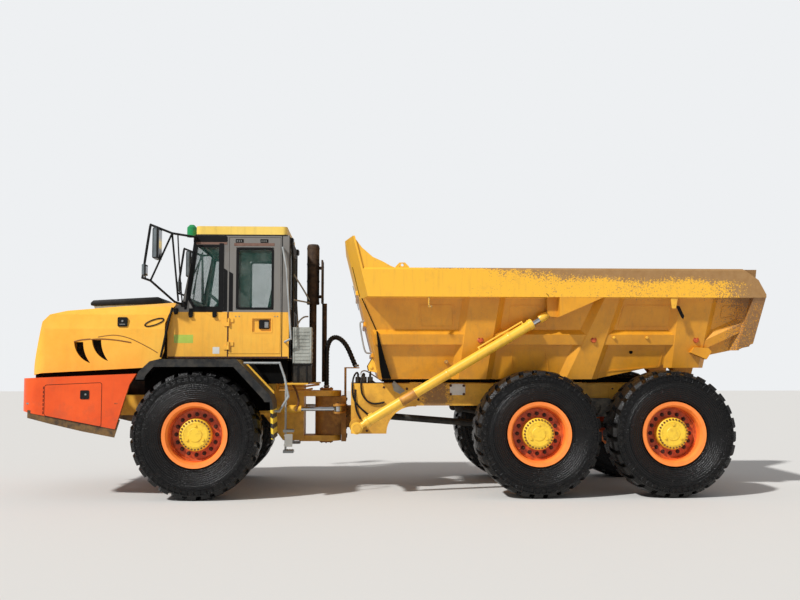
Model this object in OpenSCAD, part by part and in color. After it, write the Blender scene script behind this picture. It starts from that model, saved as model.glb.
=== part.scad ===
// Articulated dump truck, six wheels, thirty tonne class.
// The front points along -X and the truck's left side along -Y.
// Inside the modules X runs from the front axle and Z from the ground.

/* [Layout] */
// Front axle to middle axle
wheelbase = 4180; // [4100:10:4300]
// Middle axle to rear axle
tandem = 1670; // [1640:10:1740]
// Bumper face ahead of the front axle
front_overhang = 2140; // [2110:5:2200]
// Tail of the bin behind the rear axle
rear_overhang = 1225; // [1200:5:1300]
// Articulation pin behind the front axle
pivot_back = 1540; // [1530:5:1580]
// Middle of the tyres from the centre line
track_half = 1170; // [1160:5:1200]

/* [Wheels] */
// Outer radius of the tyres out to the lug tips
tyre_r = 780; // [760:5:800]
// Width of a tyre over its sidewalls
tyre_w = 600; // [560:5:610]
// Lugs along each shoulder of a tyre
lugs = 28; // [24:1:32]
// Width of the grooves between the lugs
groove_w = 58; // [45:1:70]
// Slant of the lugs in degrees
lug_slant = 13; // [5:1:20]
// Radius of the rim flange
rim_r = 395; // [380:5:410]
// Width of the rim over its flanges
rim_w = 516; // [500:4:530]
// Radius of the hub reduction cover
hub_r = 195; // [180:5:210]
// Radius of the axle spindle in the hub
spindle_r = 90; // [80:2:110]

/* [Front unit] */
// Half distance between the outer faces of the front rails
front_rail_half = 440; // [420:5:460]
// Thickness of the front rail plates
front_rail_t = 60; // [40:5:80]
// Half width over the orange skirts
skirt_half = 1250; // [1220:5:1280]
// Thickness of the skirt shell
skirt_t = 45; // [30:5:60]
// Half width of the hood
hood_half = 940; // [900:5:980]
// Thickness of the hood shell
hood_t = 30; // [20:2:40]
// Height of the hood at its front top corner
hood_front_z = 2290; // [2250:5:2330]
// Height of the hood at its rear edge
hood_rear_z = 2430; // [2400:5:2450]
// Outer face of the fenders from the centre line
fender_out = 1490; // [1475:5:1510]
// Height of the fender top
fender_z = 1692; // [1660:4:1700]

/* [Cab] */
// Half width of the cab
cab_half = 840; // [820:5:850]
// Thickness of the cab walls
cab_t = 55; // [40:5:70]
// Underside of the cab
cab_z0 = 1712; // [1706:2:1730]
// Height of the sill under the side windows
sill_z = 2300; // [2260:5:2330]
// Underside of the roof cap
roof_z = 3290; // [3250:5:3310]
// Thickness of the roof cap
roof_t = 110; // [80:5:120]
// Thickness of the window panes
glass_t = 8; // [6:1:12]
// Width of the door
door_w = 650; // [620:5:680]

/* [Hitch] */
// Radius of the articulation pin
pivot_pin_r = 55; // [45:1:65]
// Radius of the oscillation tube
osc_r = 150; // [130:5:165]
// Height of the oscillation axis
osc_z = 940; // [920:5:960]
// Top face of the upper pivot ear
ear_top_z = 1290; // [1270:5:1310]
// Underside of the lower pivot ear
ear_low_z = 620; // [600:5:640]
// Thickness of the pivot ears
ear_t = 75; // [60:5:90]

/* [Rear frame] */
// Front plate of the rear frame behind the articulation pin
plate_back = 334; // [325:2:360]
// Outer face of the rear rails from the centre line
rear_rail_half = 600; // [570:5:620]
// Thickness of the rear rails
rear_rail_w = 110; // [80:5:140]
// Top of the rear rails
rear_rail_z = 1390; // [1370:5:1400]
// Depth of the rear rails
rear_rail_h = 288; // [260:4:310]

/* [Bin] */
// Underside of the bin floor
bin_z = 1447; // [1440:1:1460]
// Top of the side rails
bin_top_z = 2830; // [2800:5:2860]
// Half width over the side rails
bin_half = 1350; // [1320:5:1370]
// Half width of the floor over the side plates
bin_floor_half = 840; // [820:2:850]
// Depth of the side rails
bin_rail_h = 360; // [340:5:380]
// Thickness of the bin plates
bin_t = 22; // [16:2:30]
// Depth of the side ribs
rib_d = 80; // [60:2:85]
// Width of the bevels along the ribs
rib_bevel = 85; // [60:1:90]
// Height of the headboard tip
tip_z = 3280; // [3240:5:3300]
// Headboard tip behind the articulation pin
tip_back = 235; // [230:1:260]
// Half width of the flat part of the headboard
head_half = 800; // [760:5:810]
// Forward lean of the headboard in degrees
head_lean = 14; // [13:0.5:15]

/* [Hoist] */
// Middle of a hoist cylinder from the centre line
hoist_y = 1150; // [1145:1:1160]
// Outer radius of the hoist barrels
hoist_r = 60; // [50:1:64]
// Radius of the hoist rods
hoist_rod_r = 36; // [30:1:38]
// Radius of the hoist pins
hoist_pin_r = 32; // [28:1:36]
// Lower hoist pin behind the articulation pin
hoist_low_back = 408; // [400:2:420]
// Height of the lower hoist pin
hoist_low_z = 846; // [830:2:860]
// Upper hoist pin behind the middle axle
hoist_top_back = 205; // [195:1:215]
// Height of the upper hoist pin
hoist_top_z = 2285; // [2275:1:2295]

/* [Hidden] */

$fn = 48;
fit = 0.3;
gap = 5;
mid_x = wheelbase;
rear_x = wheelbase + tandem;
nose_x = -front_overhang;
tail_x = rear_x + rear_overhang;
pivot_x = pivot_back;
plate_x = pivot_x + plate_back;
hub_z = tyre_r;
shift_x = -(nose_x + tail_x) / 2;
yellow = "#f2b433";
cab_yellow = "#f7bd45";
orange = "#f0602c";
rim_orange = "#f5823a";
dark = "#26282a";
steel = "#8d8f90";

tow_r = 32;
lift_r = 18;
lift_x = tip_back + pivot_back + 730;

// Places of the hoist pins and of the bin hinge
hoist_low_x = pivot_x + hoist_low_back;
hoist_top_x = mid_x + hoist_top_back;
hoist_len = norm([hoist_top_x - hoist_low_x, hoist_top_z - hoist_low_z]);
hoist_ang = atan2(hoist_top_z - hoist_low_z, hoist_top_x - hoist_low_x);
hinge_x = rear_x + 400;
hinge_z = bin_z + 53;
hinge_pin_r = 45;
hinge_ear_t = 36;
beam_x = (mid_x + rear_x) / 2;
beam_z = hub_z + 310;

module truck() {
  translate([shift_x, 0, 0]) children();
}
module both() {
  children();
  mirror([0, 1, 0]) children();
}
// Box between two corners
module box(x0, x1, y0, y1, z0, z1) {
  translate([x0, y0, z0]) cube([x1 - x0, y1 - y0, z1 - z0]);
}
// Side outline of (x, z) points, extruded from y0 to y1
module side(y0, y1, pts) {
  translate([0, y1, 0]) rotate([90, 0, 0]) linear_extrude(y1 - y0) polygon(pts);
}
// Cross outline of (y, z) points, extruded from x0 to x1
module cross(x0, x1, pts) {
  translate([x0, 0, 0]) rotate([90, 0, 90]) linear_extrude(x1 - x0) polygon(pts);
}
// Round bar along Y
module bar_y(x, z, y0, y1, r) {
  translate([x, y1, z]) rotate([90, 0, 0]) cylinder(h = y1 - y0, r = r);
}
// Round bar along X
module bar_x(x0, x1, y, z, r) {
  translate([x0, y, z]) rotate([0, 90, 0]) cylinder(h = x1 - x0, r = r);
}
// Round bar between two points
module bar(p, q, r) {
  d = q - p;
  translate(p) rotate([0, acos(d[2] / norm(d)), atan2(d[1], d[0])])
    cylinder(h = norm(d), r = r);
}
// Bent tube through a list of points, with round elbows
module tube(pts, r) {
  for (i = [0 : len(pts) - 2]) bar(pts[i], pts[i + 1], r);
  for (i = [1 : len(pts) - 2]) translate(pts[i]) sphere(r = r + 1.5, $fn = 24);
}
// Rectangle with its four corners rounded
module rrect(x0, x1, y0, y1, r) {
  translate([x0, y0 + r]) square([x1 - x0, y1 - y0 - 2 * r]);
  translate([x0 + r, y0]) square([x1 - x0 - 2 * r, y1 - y0]);
  for (x = [x0 + r, x1 - r], y = [y0 + r, y1 - r]) translate([x, y]) circle(r);
}

// Wheels, drawn with their axis along Z and the outer face up
module tyre_form() {
  wall_r = (rim_r + tyre_r) / 2;
  h = tyre_w / 2;
  b = rim_w / 2 - 18;
  seat = rim_r - 27 + fit;
  // Half section of (radius, width) points with two ridges on the wall
  half = [
    [seat, b - 12], [rim_r + 2, b - 4], [rim_r + 40, b + 22],
    [wall_r - 60, h - 16], [wall_r, h - 8], [tyre_r - 148, h - 8],
    [tyre_r - 142, h], [tyre_r - 130, h], [tyre_r - 124, h - 10],
    [tyre_r - 78, h - 16], [tyre_r - 72, h - 7], [tyre_r - 58, h - 9],
    [tyre_r - 52, h - 22], [tyre_r - 14, h - 48], [tyre_r, h - 110]
  ];
  n = len(half) - 1;
  difference() {
    rotate_extrude($fn = 96)
      polygon(concat(half, [for (i = [n : -1 : 0]) [half[i][0], -half[i][1]]]));
    // Slanted grooves part the lugs, one row from each shoulder
    for (m = [0, 1], k = [0 : lugs - 1]) mirror([0, 0, m])
      rotate((k + m / 2) * 360 / lugs) rotate([-lug_slant, 0, 0])
        side(-groove_w / 2, groove_w / 2, [
          [tyre_r - 34, 34], [tyre_r - 34, h - 110], [tyre_r - 62, h + 20],
          [tyre_r + 40, h + 20], [tyre_r + 40, 34]
        ]);
  }
}
module rim_form() {
  f = rim_w / 2;
  b = rim_r - 27;
  difference() {
    union() {
      rotate_extrude($fn = 96) polygon([
        [hub_r - 20, 20], [hub_r - 20, 60], [rim_r - 95, 60], [rim_r - 65, 85],
        [rim_r - 65, f - 53], [rim_r - 43, f - 8], [rim_r, f], [rim_r, f - 18],
        [b, f - 30], [b, 30 - f], [rim_r, 18 - f], [rim_r, -f],
        [rim_r - 43, 8 - f], [b - 18, 40 - f], [b - 18, 20]
      ]);
      rotate_extrude($fn = 96) polygon([
        [0, -130], [hub_r - 40, -130], [hub_r - 10, 0], [hub_r, 30],
        [hub_r, 175], [hub_r - 12, 188], [hub_r - 45, 200], [0, 200]
      ]);
    }
    translate([0, 0, -131]) cylinder(h = 231, r = spindle_r + fit);
  }
}
// Turns a wheel onto its axle; side is -1 on the left and 1 on the right
module on_axle(x, s) {
  truck() translate([x, s * track_half, hub_z]) rotate([s < 0 ? 90 : -90, 0, 0])
    children();
}
module tyre(x, s) {
  color("#1b1b1c") on_axle(x, s) tyre_form();
}
module rim(x, s) {
  color(rim_orange) on_axle(x, s) rim_form();
}

// Front unit
deck_z = ear_top_z + 110;
deck_half = 885;
// The rails run straight to the cab, then draw in towards the pivot
rail_bend = 500;
neck_half = 300;
neck_x = 720;
neck_plate = [
  [neck_x - 1, 980], [neck_x - 1, 1240], [840, ear_top_z + 90],
  [pivot_x - 290, ear_top_z + 90], [pivot_x - 290, ear_low_z + 20],
  [pivot_x - 560, ear_low_z + 20]
];
module pivot_ear(z0) {
  translate([0, 0, z0]) linear_extrude(ear_t) difference() {
    union() {
      translate([pivot_x - 350, -200]) square([350, 400]);
      translate([pivot_x, 0]) circle(r = 200);
    }
    translate([pivot_x, 0]) circle(r = pivot_pin_r + fit);
  }
}
module front_frame() {
  color(yellow) truck() {
    in_y = front_rail_half - front_rail_t;
    both() {
      box(nose_x + 190, rail_bend, in_y, front_rail_half, 980, 1240);
      translate([0, 0, 980]) linear_extrude(260) polygon([
        [rail_bend - 1, in_y], [rail_bend - 1, front_rail_half],
        [neck_x, neck_half], [neck_x, neck_half - front_rail_t]
      ]);
      side(neck_half - front_rail_t, neck_half, neck_plate);
    }
    // Cross members: x0, x1, z0, z1
    members = [
      [nose_x + 190, nose_x + 250, 980, 1240],
      [-1560, -1460, 1100, 1240.7],
      [-330, -230, 1100, 1240],
      [-700, -620, 1100, 1240.7],
      [260, 360, 1100, 1240],
      [830, 890, 1235, 1380],
      [pivot_x - 350, pivot_x - 290, ear_low_z + 20, ear_top_z + 90]
    ];
    for (m = members) box(m[0], m[1], m[0] < 500 ? -in_y - 1 : 1 - neck_half,
                          m[0] < 500 ? in_y + 1 : neck_half - 1, m[2], m[3]);
    pivot_ear(ear_top_z - ear_t);
    pivot_ear(ear_low_z);
    // Saddles that carry the front axle under the rails
    both() side(front_rail_half - 110, front_rail_half, [
      [-190, 985], [190, 985], [150, hub_z + 110], [-150, hub_z + 110]
    ]);
    // Brackets that carry the bumper, the fenders and the cab
    both() box(nose_x + skirt_t, nose_x + 191, 300, front_rail_half, 1020, 1200);
    both() {
      box(-630, -550, front_rail_half - 1, fender_out - 650, 1140, 1200);
      box(740, 800, neck_half - 1, fender_out - 650, 1160, 1220);
      box(-440, -320, in_y, front_rail_half + 60, 1235, cab_z0);
      box(790, 900, neck_half - 60, front_rail_half + 60, 1290, ear_top_z + 90);
      box(790, 900, in_y, front_rail_half + 60, ear_top_z + 89, cab_z0);
    }
    // Lugs and pins of the steering cylinders
    both() {
      for (z = [steer_z - 60, steer_z + 36]) steer_lug(z);
      translate([steer_front_x, steer_y, steer_z - 66]) cylinder(h = 132, r = steer_pin_r);
    }
  }
}
// Deck behind the cab for the exhaust and the louvred box
module rear_deck() {
  color(yellow) truck() {
    box(cab_back - 50, 1330, -deck_half, deck_half, deck_z - 20, deck_z);
    box(1329, cab_back + 370, -350, 350, deck_z - 20, deck_z);
  }
}
// Towing lugs on the inner faces of the bumper brackets
module tow_lugs() {
  color(yellow) truck() both() difference() {
    box(nose_x + 60, nose_x + 188, 270, 300, 885, 1190);
    bar_y(nose_x + 125, 950, 260, 310, tow_r);
  }
}
module engine_block() {
  color("#5b5e60") truck() box(nose_x + 420, cab_front - 40, -330, 330, 1241, 2050);
}

// Orange skirts with the bumper: rounded in plan, open below and behind
skirt_end = -740;
module skirt_solid(i, cut) {
  intersection() {
    side(-skirt_half + i, skirt_half - i, [
      [nose_x - 5, 1070 - cut], [nose_x - 5, 1462 - i], [skirt_end + cut, 1520 - i],
      [skirt_end - 80 + cut, 1390 - i], [skirt_end - 140 + cut, 1200],
      [skirt_end - 245 + cut, 845 - cut]
    ]);
    translate([0, 0, 600]) linear_extrude(1200) union() {
      rrect(nose_x + i, skirt_end + 400, i - skirt_half, skirt_half - i, 200 - i);
    }
  }
}
module front_skirt() {
  color(orange) truck() both() hood_knuckle(-1);
  color(orange) truck() difference() {
    skirt_solid(0, 0);
    skirt_solid(skirt_t, 120);
    // Well for the hood
    box(nose_x + 130, skirt_end + 50, -hood_half + 60, hood_half - 60, 1300, 1700);
    both() bar_x(nose_x - 10, nose_x + 100, 900, 1290, 92);
    box(nose_x - 10, nose_x + 100, -520, 520, 1150, 1400);
  }
}
module headlamps() {
  color("#e8ecee") truck() both() {
    bar_x(nose_x + 8, nose_x + 60, 900, 1290, 92 - fit);
  }
}

// Fenders over the front wheels, with the flap behind
fender_line = [
  [-700, 1450], [-665, 1545], [-535, fender_z - 24], [-440, fender_z], [500, fender_z],
  [905, 1262], [935, 1180], [950, 735]
];
fender_inner = [
  [925, 735], [905, 1170], [870, 1235], [482, fender_z - 40],
  [-428, fender_z - 40], [-512, fender_z - 62], [-628, 1530], [-660, 1450]
];
module fenders() {
  in = fender_out - 650;
  color(dark) truck() both() {
    side(in, fender_out, concat(fender_line, fender_inner));
    // Lip along the outer edge
    side(fender_out - 30, fender_out, concat(
      [for (p = fender_line) if (p[1] > 1100) p],
      [[840, 1180], [820, 1215], [462, fender_z - 90], [-490, fender_z - 90],
       [-580, 1500], [-600, 1450]]
    ));
    // Inner wall of the wheel house
    side(in, in + 12, [
      [-640, 1200], [-640, 1530], [-525, fender_z - 40], [-435, fender_z - 10], [490, fender_z - 10],
      [850, 1240], [850, 1130], [640, 1130], [520, 1340], [300, 1580],
      [-300, 1580], [-480, 1400], [-540, 1130], [-610, 1130]
    ]);
  }
}

// Cab
cab_back = 1080;
cab_front = -450;
door_x = 320;
cab_out = [
  [cab_front, cab_z0], [cab_back, cab_z0], [cab_back, roof_z],
  [-100, roof_z], [-265, 2440], [cab_front + 65, sill_z + 30], [cab_front, 2180]
];
cab_in = [
  [cab_front + cab_t, cab_z0 + 60], [cab_back - cab_t, cab_z0 + 60],
  [cab_back - cab_t, roof_z - 50], [-60, roof_z - 50], [-215, 2440 - 20],
  [cab_front + 90, sill_z - 20], [cab_front + cab_t, 2160]
];
// Side window outlines of (x, z) points
front_pane = [
  [-110, roof_z - 130], [215, roof_z - 130], [215, sill_z + 40],
  [-130, sill_z + 40], [-205, 2465]
];
door_pane = [
  [door_x + 85, sill_z + 30], [door_x + door_w - 85, sill_z + 30],
  [door_x + door_w - 85, roof_z - 160], [door_x + 85, roof_z - 160]
];
module cab_solid() {
  difference() {
    side(-cab_half, cab_half, cab_out);
    side(cab_t - cab_half, cab_half - cab_t, cab_in);
    // Openings through both sides
    side(-cab_half - 5, cab_half + 5, front_pane);
    side(0, cab_half + 5, door_pane);
    // Doorway on the left
    side(-cab_half - 5, -cab_half + cab_t + 5, [
      [door_x - gap, cab_z0 + 55], [door_x + door_w + gap, cab_z0 + 55],
      [door_x + door_w + gap, roof_z - 30], [door_x - gap, roof_z - 30]
    ]);
    // Windscreen and rear window
    box(-400, 0, -cab_half + 110, cab_half - 110, 2480, roof_z - 90);
    box(cab_back - 100, cab_back + 5, -cab_half + 130, cab_half - 130,
        sill_z + 60, roof_z - 140);
  }
}
module cab_tub() {
  color(cab_yellow) truck() {
    intersection() {
      cab_solid();
      box(-600, 1200, -cab_half, cab_half, cab_z0 - 10, sill_z);
    }
    for (z = hinge_heights) door_knuckle(z, -1);
  }
}
// Door hinges: cab leaf when s is -1, door leaf and pin when s is 1
hinge_heights = [cab_z0 + 160, sill_z - 130];
door_axis_y = -cab_half - 16;
module door_knuckle(z, s) {
  translate([door_x, door_axis_y, z]) {
    difference() {
      union() {
        translate([0, 0, s > 0 ? fit : -50]) cylinder(h = 50 - fit, r = 14);
        box(s > 0 ? 0 : -60, s > 0 ? 60 : 0, 4, 16, s > 0 ? fit : -50, s > 0 ? 50 : -fit);
      }
      if (s < 0) translate([0, 0, -51]) cylinder(h = 60, r = 7 + fit);
    }
    if (s > 0) translate([0, 0, -50]) cylinder(h = 60, r = 7);
  }
}
module cab_frame() {
  color("#77756f") truck() intersection() {
    cab_solid();
    box(-600, 1200, -cab_half, cab_half, sill_z, roof_z + 10);
  }
}
module cab_roof() {
  color(cab_yellow) truck() translate([0, 0, roof_z]) linear_extrude(roof_t)
    rrect(-110, cab_back - 30, -cab_half, cab_half, 60);
}
module cab_glass() {
  color("#5e7f86") truck() {
    both() side(cab_half - 30, cab_half - 30 + glass_t, front_pane);
    side(cab_half - 30, cab_half - 30 + glass_t, door_pane);
    box(cab_back - 30, cab_back - 30 + glass_t, -cab_half + 130, cab_half - 130,
        sill_z + 60, roof_z - 140);
    // Raked windscreen
    lean = atan2(165, roof_z - 2440);
    translate([-247, 0, 2482]) rotate([0, lean, 0])
      box(0, glass_t, -cab_half + 110, cab_half - 110, 0, roof_z - 96 - 2480);
  }
}
module cab_door() {
  z0 = cab_z0 + 60;
  z1 = roof_z - 35;
  color(cab_yellow) truck() {
    difference() {
      side(-cab_half, -cab_half + cab_t, [
        [door_x, z0], [door_x + door_w, z0], [door_x + door_w, z1], [door_x, z1]
      ]);
      side(-cab_half - 5, cab_t - cab_half + 5, door_pane);
      // Recess of the door handle
      box(door_x + 300, door_x + 534, -cab_half - 5, -cab_half + 22, 2050, 2218);
    }
    box(door_x + 385, door_x + 508, -cab_half + 2, -cab_half + 12, 2118, 2150);
    for (x = [385, 496]) box(door_x + x, door_x + x + 12, -cab_half + 11, -cab_half + 23, 2118, 2150);
    for (z = hinge_heights) door_knuckle(z, 1);
  }
}
module door_glass() {
  color("#5e7f86") truck()
    side(-cab_half + 22, -cab_half + 22 + glass_t, door_pane);
}
module driver_seat() {
  z0 = cab_z0 + 60;
  color("#3a3d42") truck() {
    box(330, 700, -200, 200, z0, z0 + 260);
    box(280, 790, -260, 260, z0 + 260, z0 + 390);
    side(-240, 240, [
      [700, z0 + 390], [800, z0 + 390], [930, z0 + 1050], [830, z0 + 1050]
    ]);
    box(860, 960, -140, 140, z0 + 1050, z0 + 1230);
  }
}
module dash_console() {
  z0 = cab_z0 + 60;
  color("#33363a") truck() {
    side(-560, 560, [
      [-360, z0], [-120, z0], [-60, z0 + 540], [-160, z0 + 640], [-330, z0 + 520]
    ]);
    bar([-80, 0, z0 + 500], [88, 0, z0 + 700], 30);
    translate([88, 0, z0 + 700]) rotate([0, 50 - 90 + 80, 0])
      rotate_extrude() translate([190, 0]) circle(r = 16);
    translate([88, 0, z0 + 700]) rotate([0, 40, 0]) {
      cylinder(h = 20, r = 60, center = true);
      box(-185, 185, -14, 14, -8, 8);
    }
  }
}

// Mirrors on their tube frames
module mirrors() {
  y = cab_half + 120;
  o = cab_half + 360;
  color("#2b2d2f") truck() both() {
    tube([[-110, cab_half + 15, 3220], [-110, y, 3245], [-345, o, 3255],
          [-610, o, 3360], [-700, o, 2700], [-600, o, 2665],
          [-345, y, 2420], [-250, cab_half + 15, 2390]], 14);
    // Pads on the cab
    box(-135, -85, cab_half, cab_half + 30, 3190, 3250);
    box(-280, -220, cab_half, cab_half + 30, 2360, 2420);
    bar([-345, o, 3255], [-600, o, 2665], 12);
    bar([-345, o, 3255], [-300, y, 2430], 12);
    box(-560, -490, o - 110, o + 110, 2935, 3310);
    box(-690, -650, o - 70, o + 70, 2730, 2860);
  }
}
module beacon() {
  color("#2f9a5e") truck() translate([-215, -520, 3300]) {
    cylinder(h = 70, r = 45);
    cylinder(h = 125, r = 62);
    translate([0, 0, 125]) cylinder(h = 35, r1 = 62, r2 = 30);
    box(0, 105, -25, 25, 0, 20);
  }
}
module steps_rails() {
  color("#9aa0a3") truck() both() {
    // Hanging step under the frame
    for (y = [-880, -710]) box(cab_back - 40, cab_back - 28, y, y + 40, 521, deck_z - 20);
    for (z = [520, 780]) box(1020, 1150, -880, -670, z, z + 30);
    // Grab rail at the rear corner of the cab
    tube([[cab_back - 80, -cab_half, 3120], [cab_back - 80, -cab_half - 50, 3120],
          [cab_back - 30, -cab_half - 50, 2850], [cab_back + 30, -cab_half - 50, 1960],
          [cab_back - 45, -cab_half - 50, 1920], [cab_back - 45, -cab_half, 1920]], 13);
    // Handrail loop behind the fender, its ends cut to the fender's faces
    rail_y = -1250;
    difference() {
      tube([[560, rail_y, 1650], [1000, rail_y, 1650], [1060, rail_y, 1480],
            [1110, rail_y, 1240], [1000, rail_y, 1060], [925, rail_y, 1060]], 14);
      side(-1300, -1100, [
        [400, fender_z], [500, fender_z], [905, 1262], [935, 1180], [950, 735], [400, 735]
      ]);
    }
  }
}
module exhaust_stack() {
  color("#5d4a3f") truck() {
    translate([1340, 250, 2470]) cylinder(h = 810, r = 85);
    translate([1340, 250, deck_z]) cylinder(h = 1100, r = 50);
    // Heat shield and its brackets
    box(1456, 1478, 110, 390, 2484, 3080);
    for (z = [2560, 2960]) box(1400, 1457, 225, 275, z, z + 40);
    // Pipe beside the stack
    translate([1500, 250, deck_z]) cylinder(h = 1084, r = 34);
  }
}
module louvred_box() {
  color("#c9cccc") truck() {
    box(1130, 1370, -800, -500, 1650, 2110);
  }
}
module battery_box() {
  color(dark) truck() {
    box(1140, 1365, -795, -505, deck_z, 1650);
  }
}
module front_axle() {
  color("#3b3d3f") truck() axle_form(0);
}
// Axle housing with its final drive and spindles
module axle_form(x) {
  both() {
    bar_y(x, hub_z, -1, track_half - 250, 110);
    bar_y(x, hub_z, track_half - 260, track_half + 90, spindle_r);
    translate([x, track_half - 250, hub_z]) rotate([90, 0, 0])
      cylinder(h = 60, r = 150);
  }
  translate([x, 0, hub_z]) rotate([90, 0, 0]) cylinder(h = 240, r = 235, center = true);
  bar_x(x - 300, x + 300, 0, hub_z + 40, 90);
}

// Hood: the same form drawn twice, once inset, leaves a shell
hood_rear = -370;
module hood_form(i) {
  r = 120 - i;
  intersection() {
    side(-1200, 1200, [
      [nose_x + 20 + i, 1500 - i], [nose_x + 40 + i, 1620], [-1985 + i, hood_front_z - 120],
      [-1900 + i, hood_front_z - 30 - i], [-1700, hood_front_z + 20 - i],
      [hood_rear + i, hood_rear_z - i], [hood_rear - 2 + i, 2375],
      [hood_rear - 32 + i, 2330], [hood_rear - 96 + i, 2150],
      [hood_rear - 100 + i, 1810], [hood_rear - 130 + i, 1712],
      [hood_rear - 360, 1592 - 2 * i], [-1980, 1525 - 2 * i]
    ]);
    cross(nose_x, -200, [
      [-hood_half + i, 1300], [-hood_half + i, 2080], [-hood_half + 30 + i, 2260],
      [-hood_half + 130 + i, 2370 - i], [-hood_half + 330, 2460 - i],
      [hood_half - 330, 2460 - i], [hood_half - 130 - i, 2370 - i],
      [hood_half - 30 - i, 2260], [hood_half - i, 2080], [hood_half - i, 1300]
    ]);
    translate([0, 0, 1200]) linear_extrude(1400)
      rrect(nose_x + 20 + i, 200, i - hood_half, hood_half - i, 190 - i);
  }
}
module hood() {
  color(cab_yellow) truck() both() hood_knuckle(1);
  color(cab_yellow) truck() difference() {
    hood_form(0);
    hood_form(hood_t);
    both() bar_y(hood_axis_x, hood_axis_z, 550, 720, 12);
    // Claw shaped side vents between two arcs: x and z of the upper corner
    vents = [[-1587, 1914], [-1366, 1940]];
    for (v = vents) translate([v[0], 0, v[1]]) rotate([90, 0, 0])
      linear_extrude(3000, center = true) intersection() {
        difference() {
          translate([299, 20]) circle(r = 300);
          translate([534, -1]) circle(r = 420);
        }
        translate([-10, -262]) square([300, 262]);
      }
    // Grille opening in the nose
    box(nose_x - 5, -1800, -520, 520, 1600, 2130);
    // Room for the hinge lugs
    both() box(nose_x, nose_x + 80, 636, 716, 1480, 1522);
  }
}
// Hood hinges on the bumper: hood knuckle when s is 1, bumper lug and pin when -1
hood_axis_x = nose_x + 35;
hood_axis_z = 1502;
module hood_knuckle(s) {
  y0 = 560;
  difference() {
    union() {
      bar_y(hood_axis_x, hood_axis_z, s > 0 ? y0 : y0 + 80 + fit, s > 0 ? y0 + 80 : y0 + 150, 16);
      if (s < 0) box(hood_axis_x - 16, hood_axis_x + 16, y0 + 80 + fit, y0 + 150, 1440, hood_axis_z);
    }
    if (s > 0) bar_y(hood_axis_x, hood_axis_z, y0 - 5, y0 + 90, 8 + fit);
  }
  if (s < 0) bar_y(hood_axis_x, hood_axis_z, y0 + 5, y0 + 100, 8);
}
// The hood's left face between its two upper bends
function hood_side_y(z) = -hood_half + 30 * (z - 2080) / 180;
slab_x = -1540;
slab_end = -640;
// Height of the hood's upper face at x
function hood_roof_z(x) = hood_front_z + 20
  + (x + 1700) / (hood_rear + 1700) * (hood_rear_z - hood_front_z - 20);
module hood_top() {
  color(dark) truck() {
    both() {
      // Grab handle on the side of the hood
      tube([[-713, hood_side_y(2125) - fit, 2135], [-713, -hood_half - 50, 2135],
            [-499, -hood_half - 50, 2208], [-499, hood_side_y(2198) - fit, 2208]], 10);
      // Latch
      cross(-1030, -960, [
        [hood_side_y(2132), 2132], [hood_side_y(2132) - 14, 2132],
        [hood_side_y(2202) - 14, 2202], [hood_side_y(2202), 2202]
      ]);
    }
    // Convex mirror at the front, on its arm
    translate([-2066, -560, 2361]) rotate([0, 90, 0]) {
      cylinder(h = 75, r1 = 30, r2 = 78);
      translate([0, 0, 75]) cylinder(h = 14, r = 78);
    }
    bar([-2040, -560, 2361], [-1655, -560, hood_roof_z(-1655) + 18], 11);
    side(-595, -525, [
      [-1690, hood_roof_z(-1690)], [-1620, hood_roof_z(-1620)],
      [-1620, hood_roof_z(-1620) + 16], [-1690, hood_roof_z(-1690) + 16]
    ]);
  }
  color(dark) truck() intersection() {
    side(-420, 420, [
      [slab_x, hood_roof_z(slab_x)], [slab_x, hood_roof_z(slab_x) + 160],
      [slab_x + 50, hood_roof_z(slab_x) + 196], [slab_end, hood_roof_z(slab_end) + 128],
      [slab_end, hood_roof_z(slab_end)]
    ]);
  }
}
module hood_grille() {
  color(dark) truck() intersection() {
    difference() {
      hood_form(8);
      hood_form(hood_t - 4);
    }
    union() {
      both() box(-2200, -1800, 480, 520, 1600, 2130);
      box(-2200, -1800, -20, 20, 1600, 2130);
      for (k = [0 : 8]) box(-2200, -1800, -520, 520, 1600 + k * 61, 1600 + k * 61 + 42);
    }
  }
}

// Hitch with the articulation pin and the oscillation tube
module hitch() {
  color("#c99a3c") truck() {
    translate([pivot_x, 0, ear_low_z - gap - 20]) cylinder(h = 20, r = 90);
    translate([pivot_x, 0, ear_low_z - gap - 1]) cylinder(h = ear_top_z - ear_low_z + 12, r = pivot_pin_r);
    translate([pivot_x, 0, ear_top_z + gap]) cylinder(h = 28, r = 90);
    translate([pivot_x, 0, ear_low_z + ear_t + gap])
      cylinder(h = ear_top_z - ear_low_z - 2 * ear_t - 2 * gap, r = 150);
    z0 = ear_low_z + ear_t + gap;
    z1 = ear_top_z - ear_t - gap;
    box(pivot_x, pivot_x + 210, -150, 150, z0, z1);
    box(pivot_x + 205, pivot_x + 270, -260, 260, ear_low_z, ear_top_z - 70);
    // Bridge that carries the hose over the rear frame
    box(pivot_x + 240, pivot_x + 270, -40, 40, ear_top_z - 71, 1602);
    box(pivot_x + 240, pivot_x + 445, -45, 45, 1586, 1602);
    bar_x(pivot_x + 265, plate_x + 430, 0, osc_z, osc_r);
    bar_x(plate_x + 425, plate_x + 470, 0, osc_z, osc_r + 45);
    // Steering arms: a plate above and one below the rod eye
    both() {
      for (z = [steer_z - 60, steer_z + 36]) translate([0, 0, z]) linear_extrude(24) {
        polygon([
          [pivot_x + 205, 200], [pivot_x + 265, 200], [pivot_x + 265, 330],
          [steer_rear_x + 60, steer_y], [steer_rear_x - 60, steer_y],
          [pivot_x + 205, 330]
        ]);
        translate([steer_rear_x, steer_y]) circle(r = 60);
      }
      for (z = [steer_z - 72, steer_z + 60]) translate([steer_rear_x, steer_y, z])
        cylinder(h = 12, r = 32);
    }
  }
}
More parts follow.
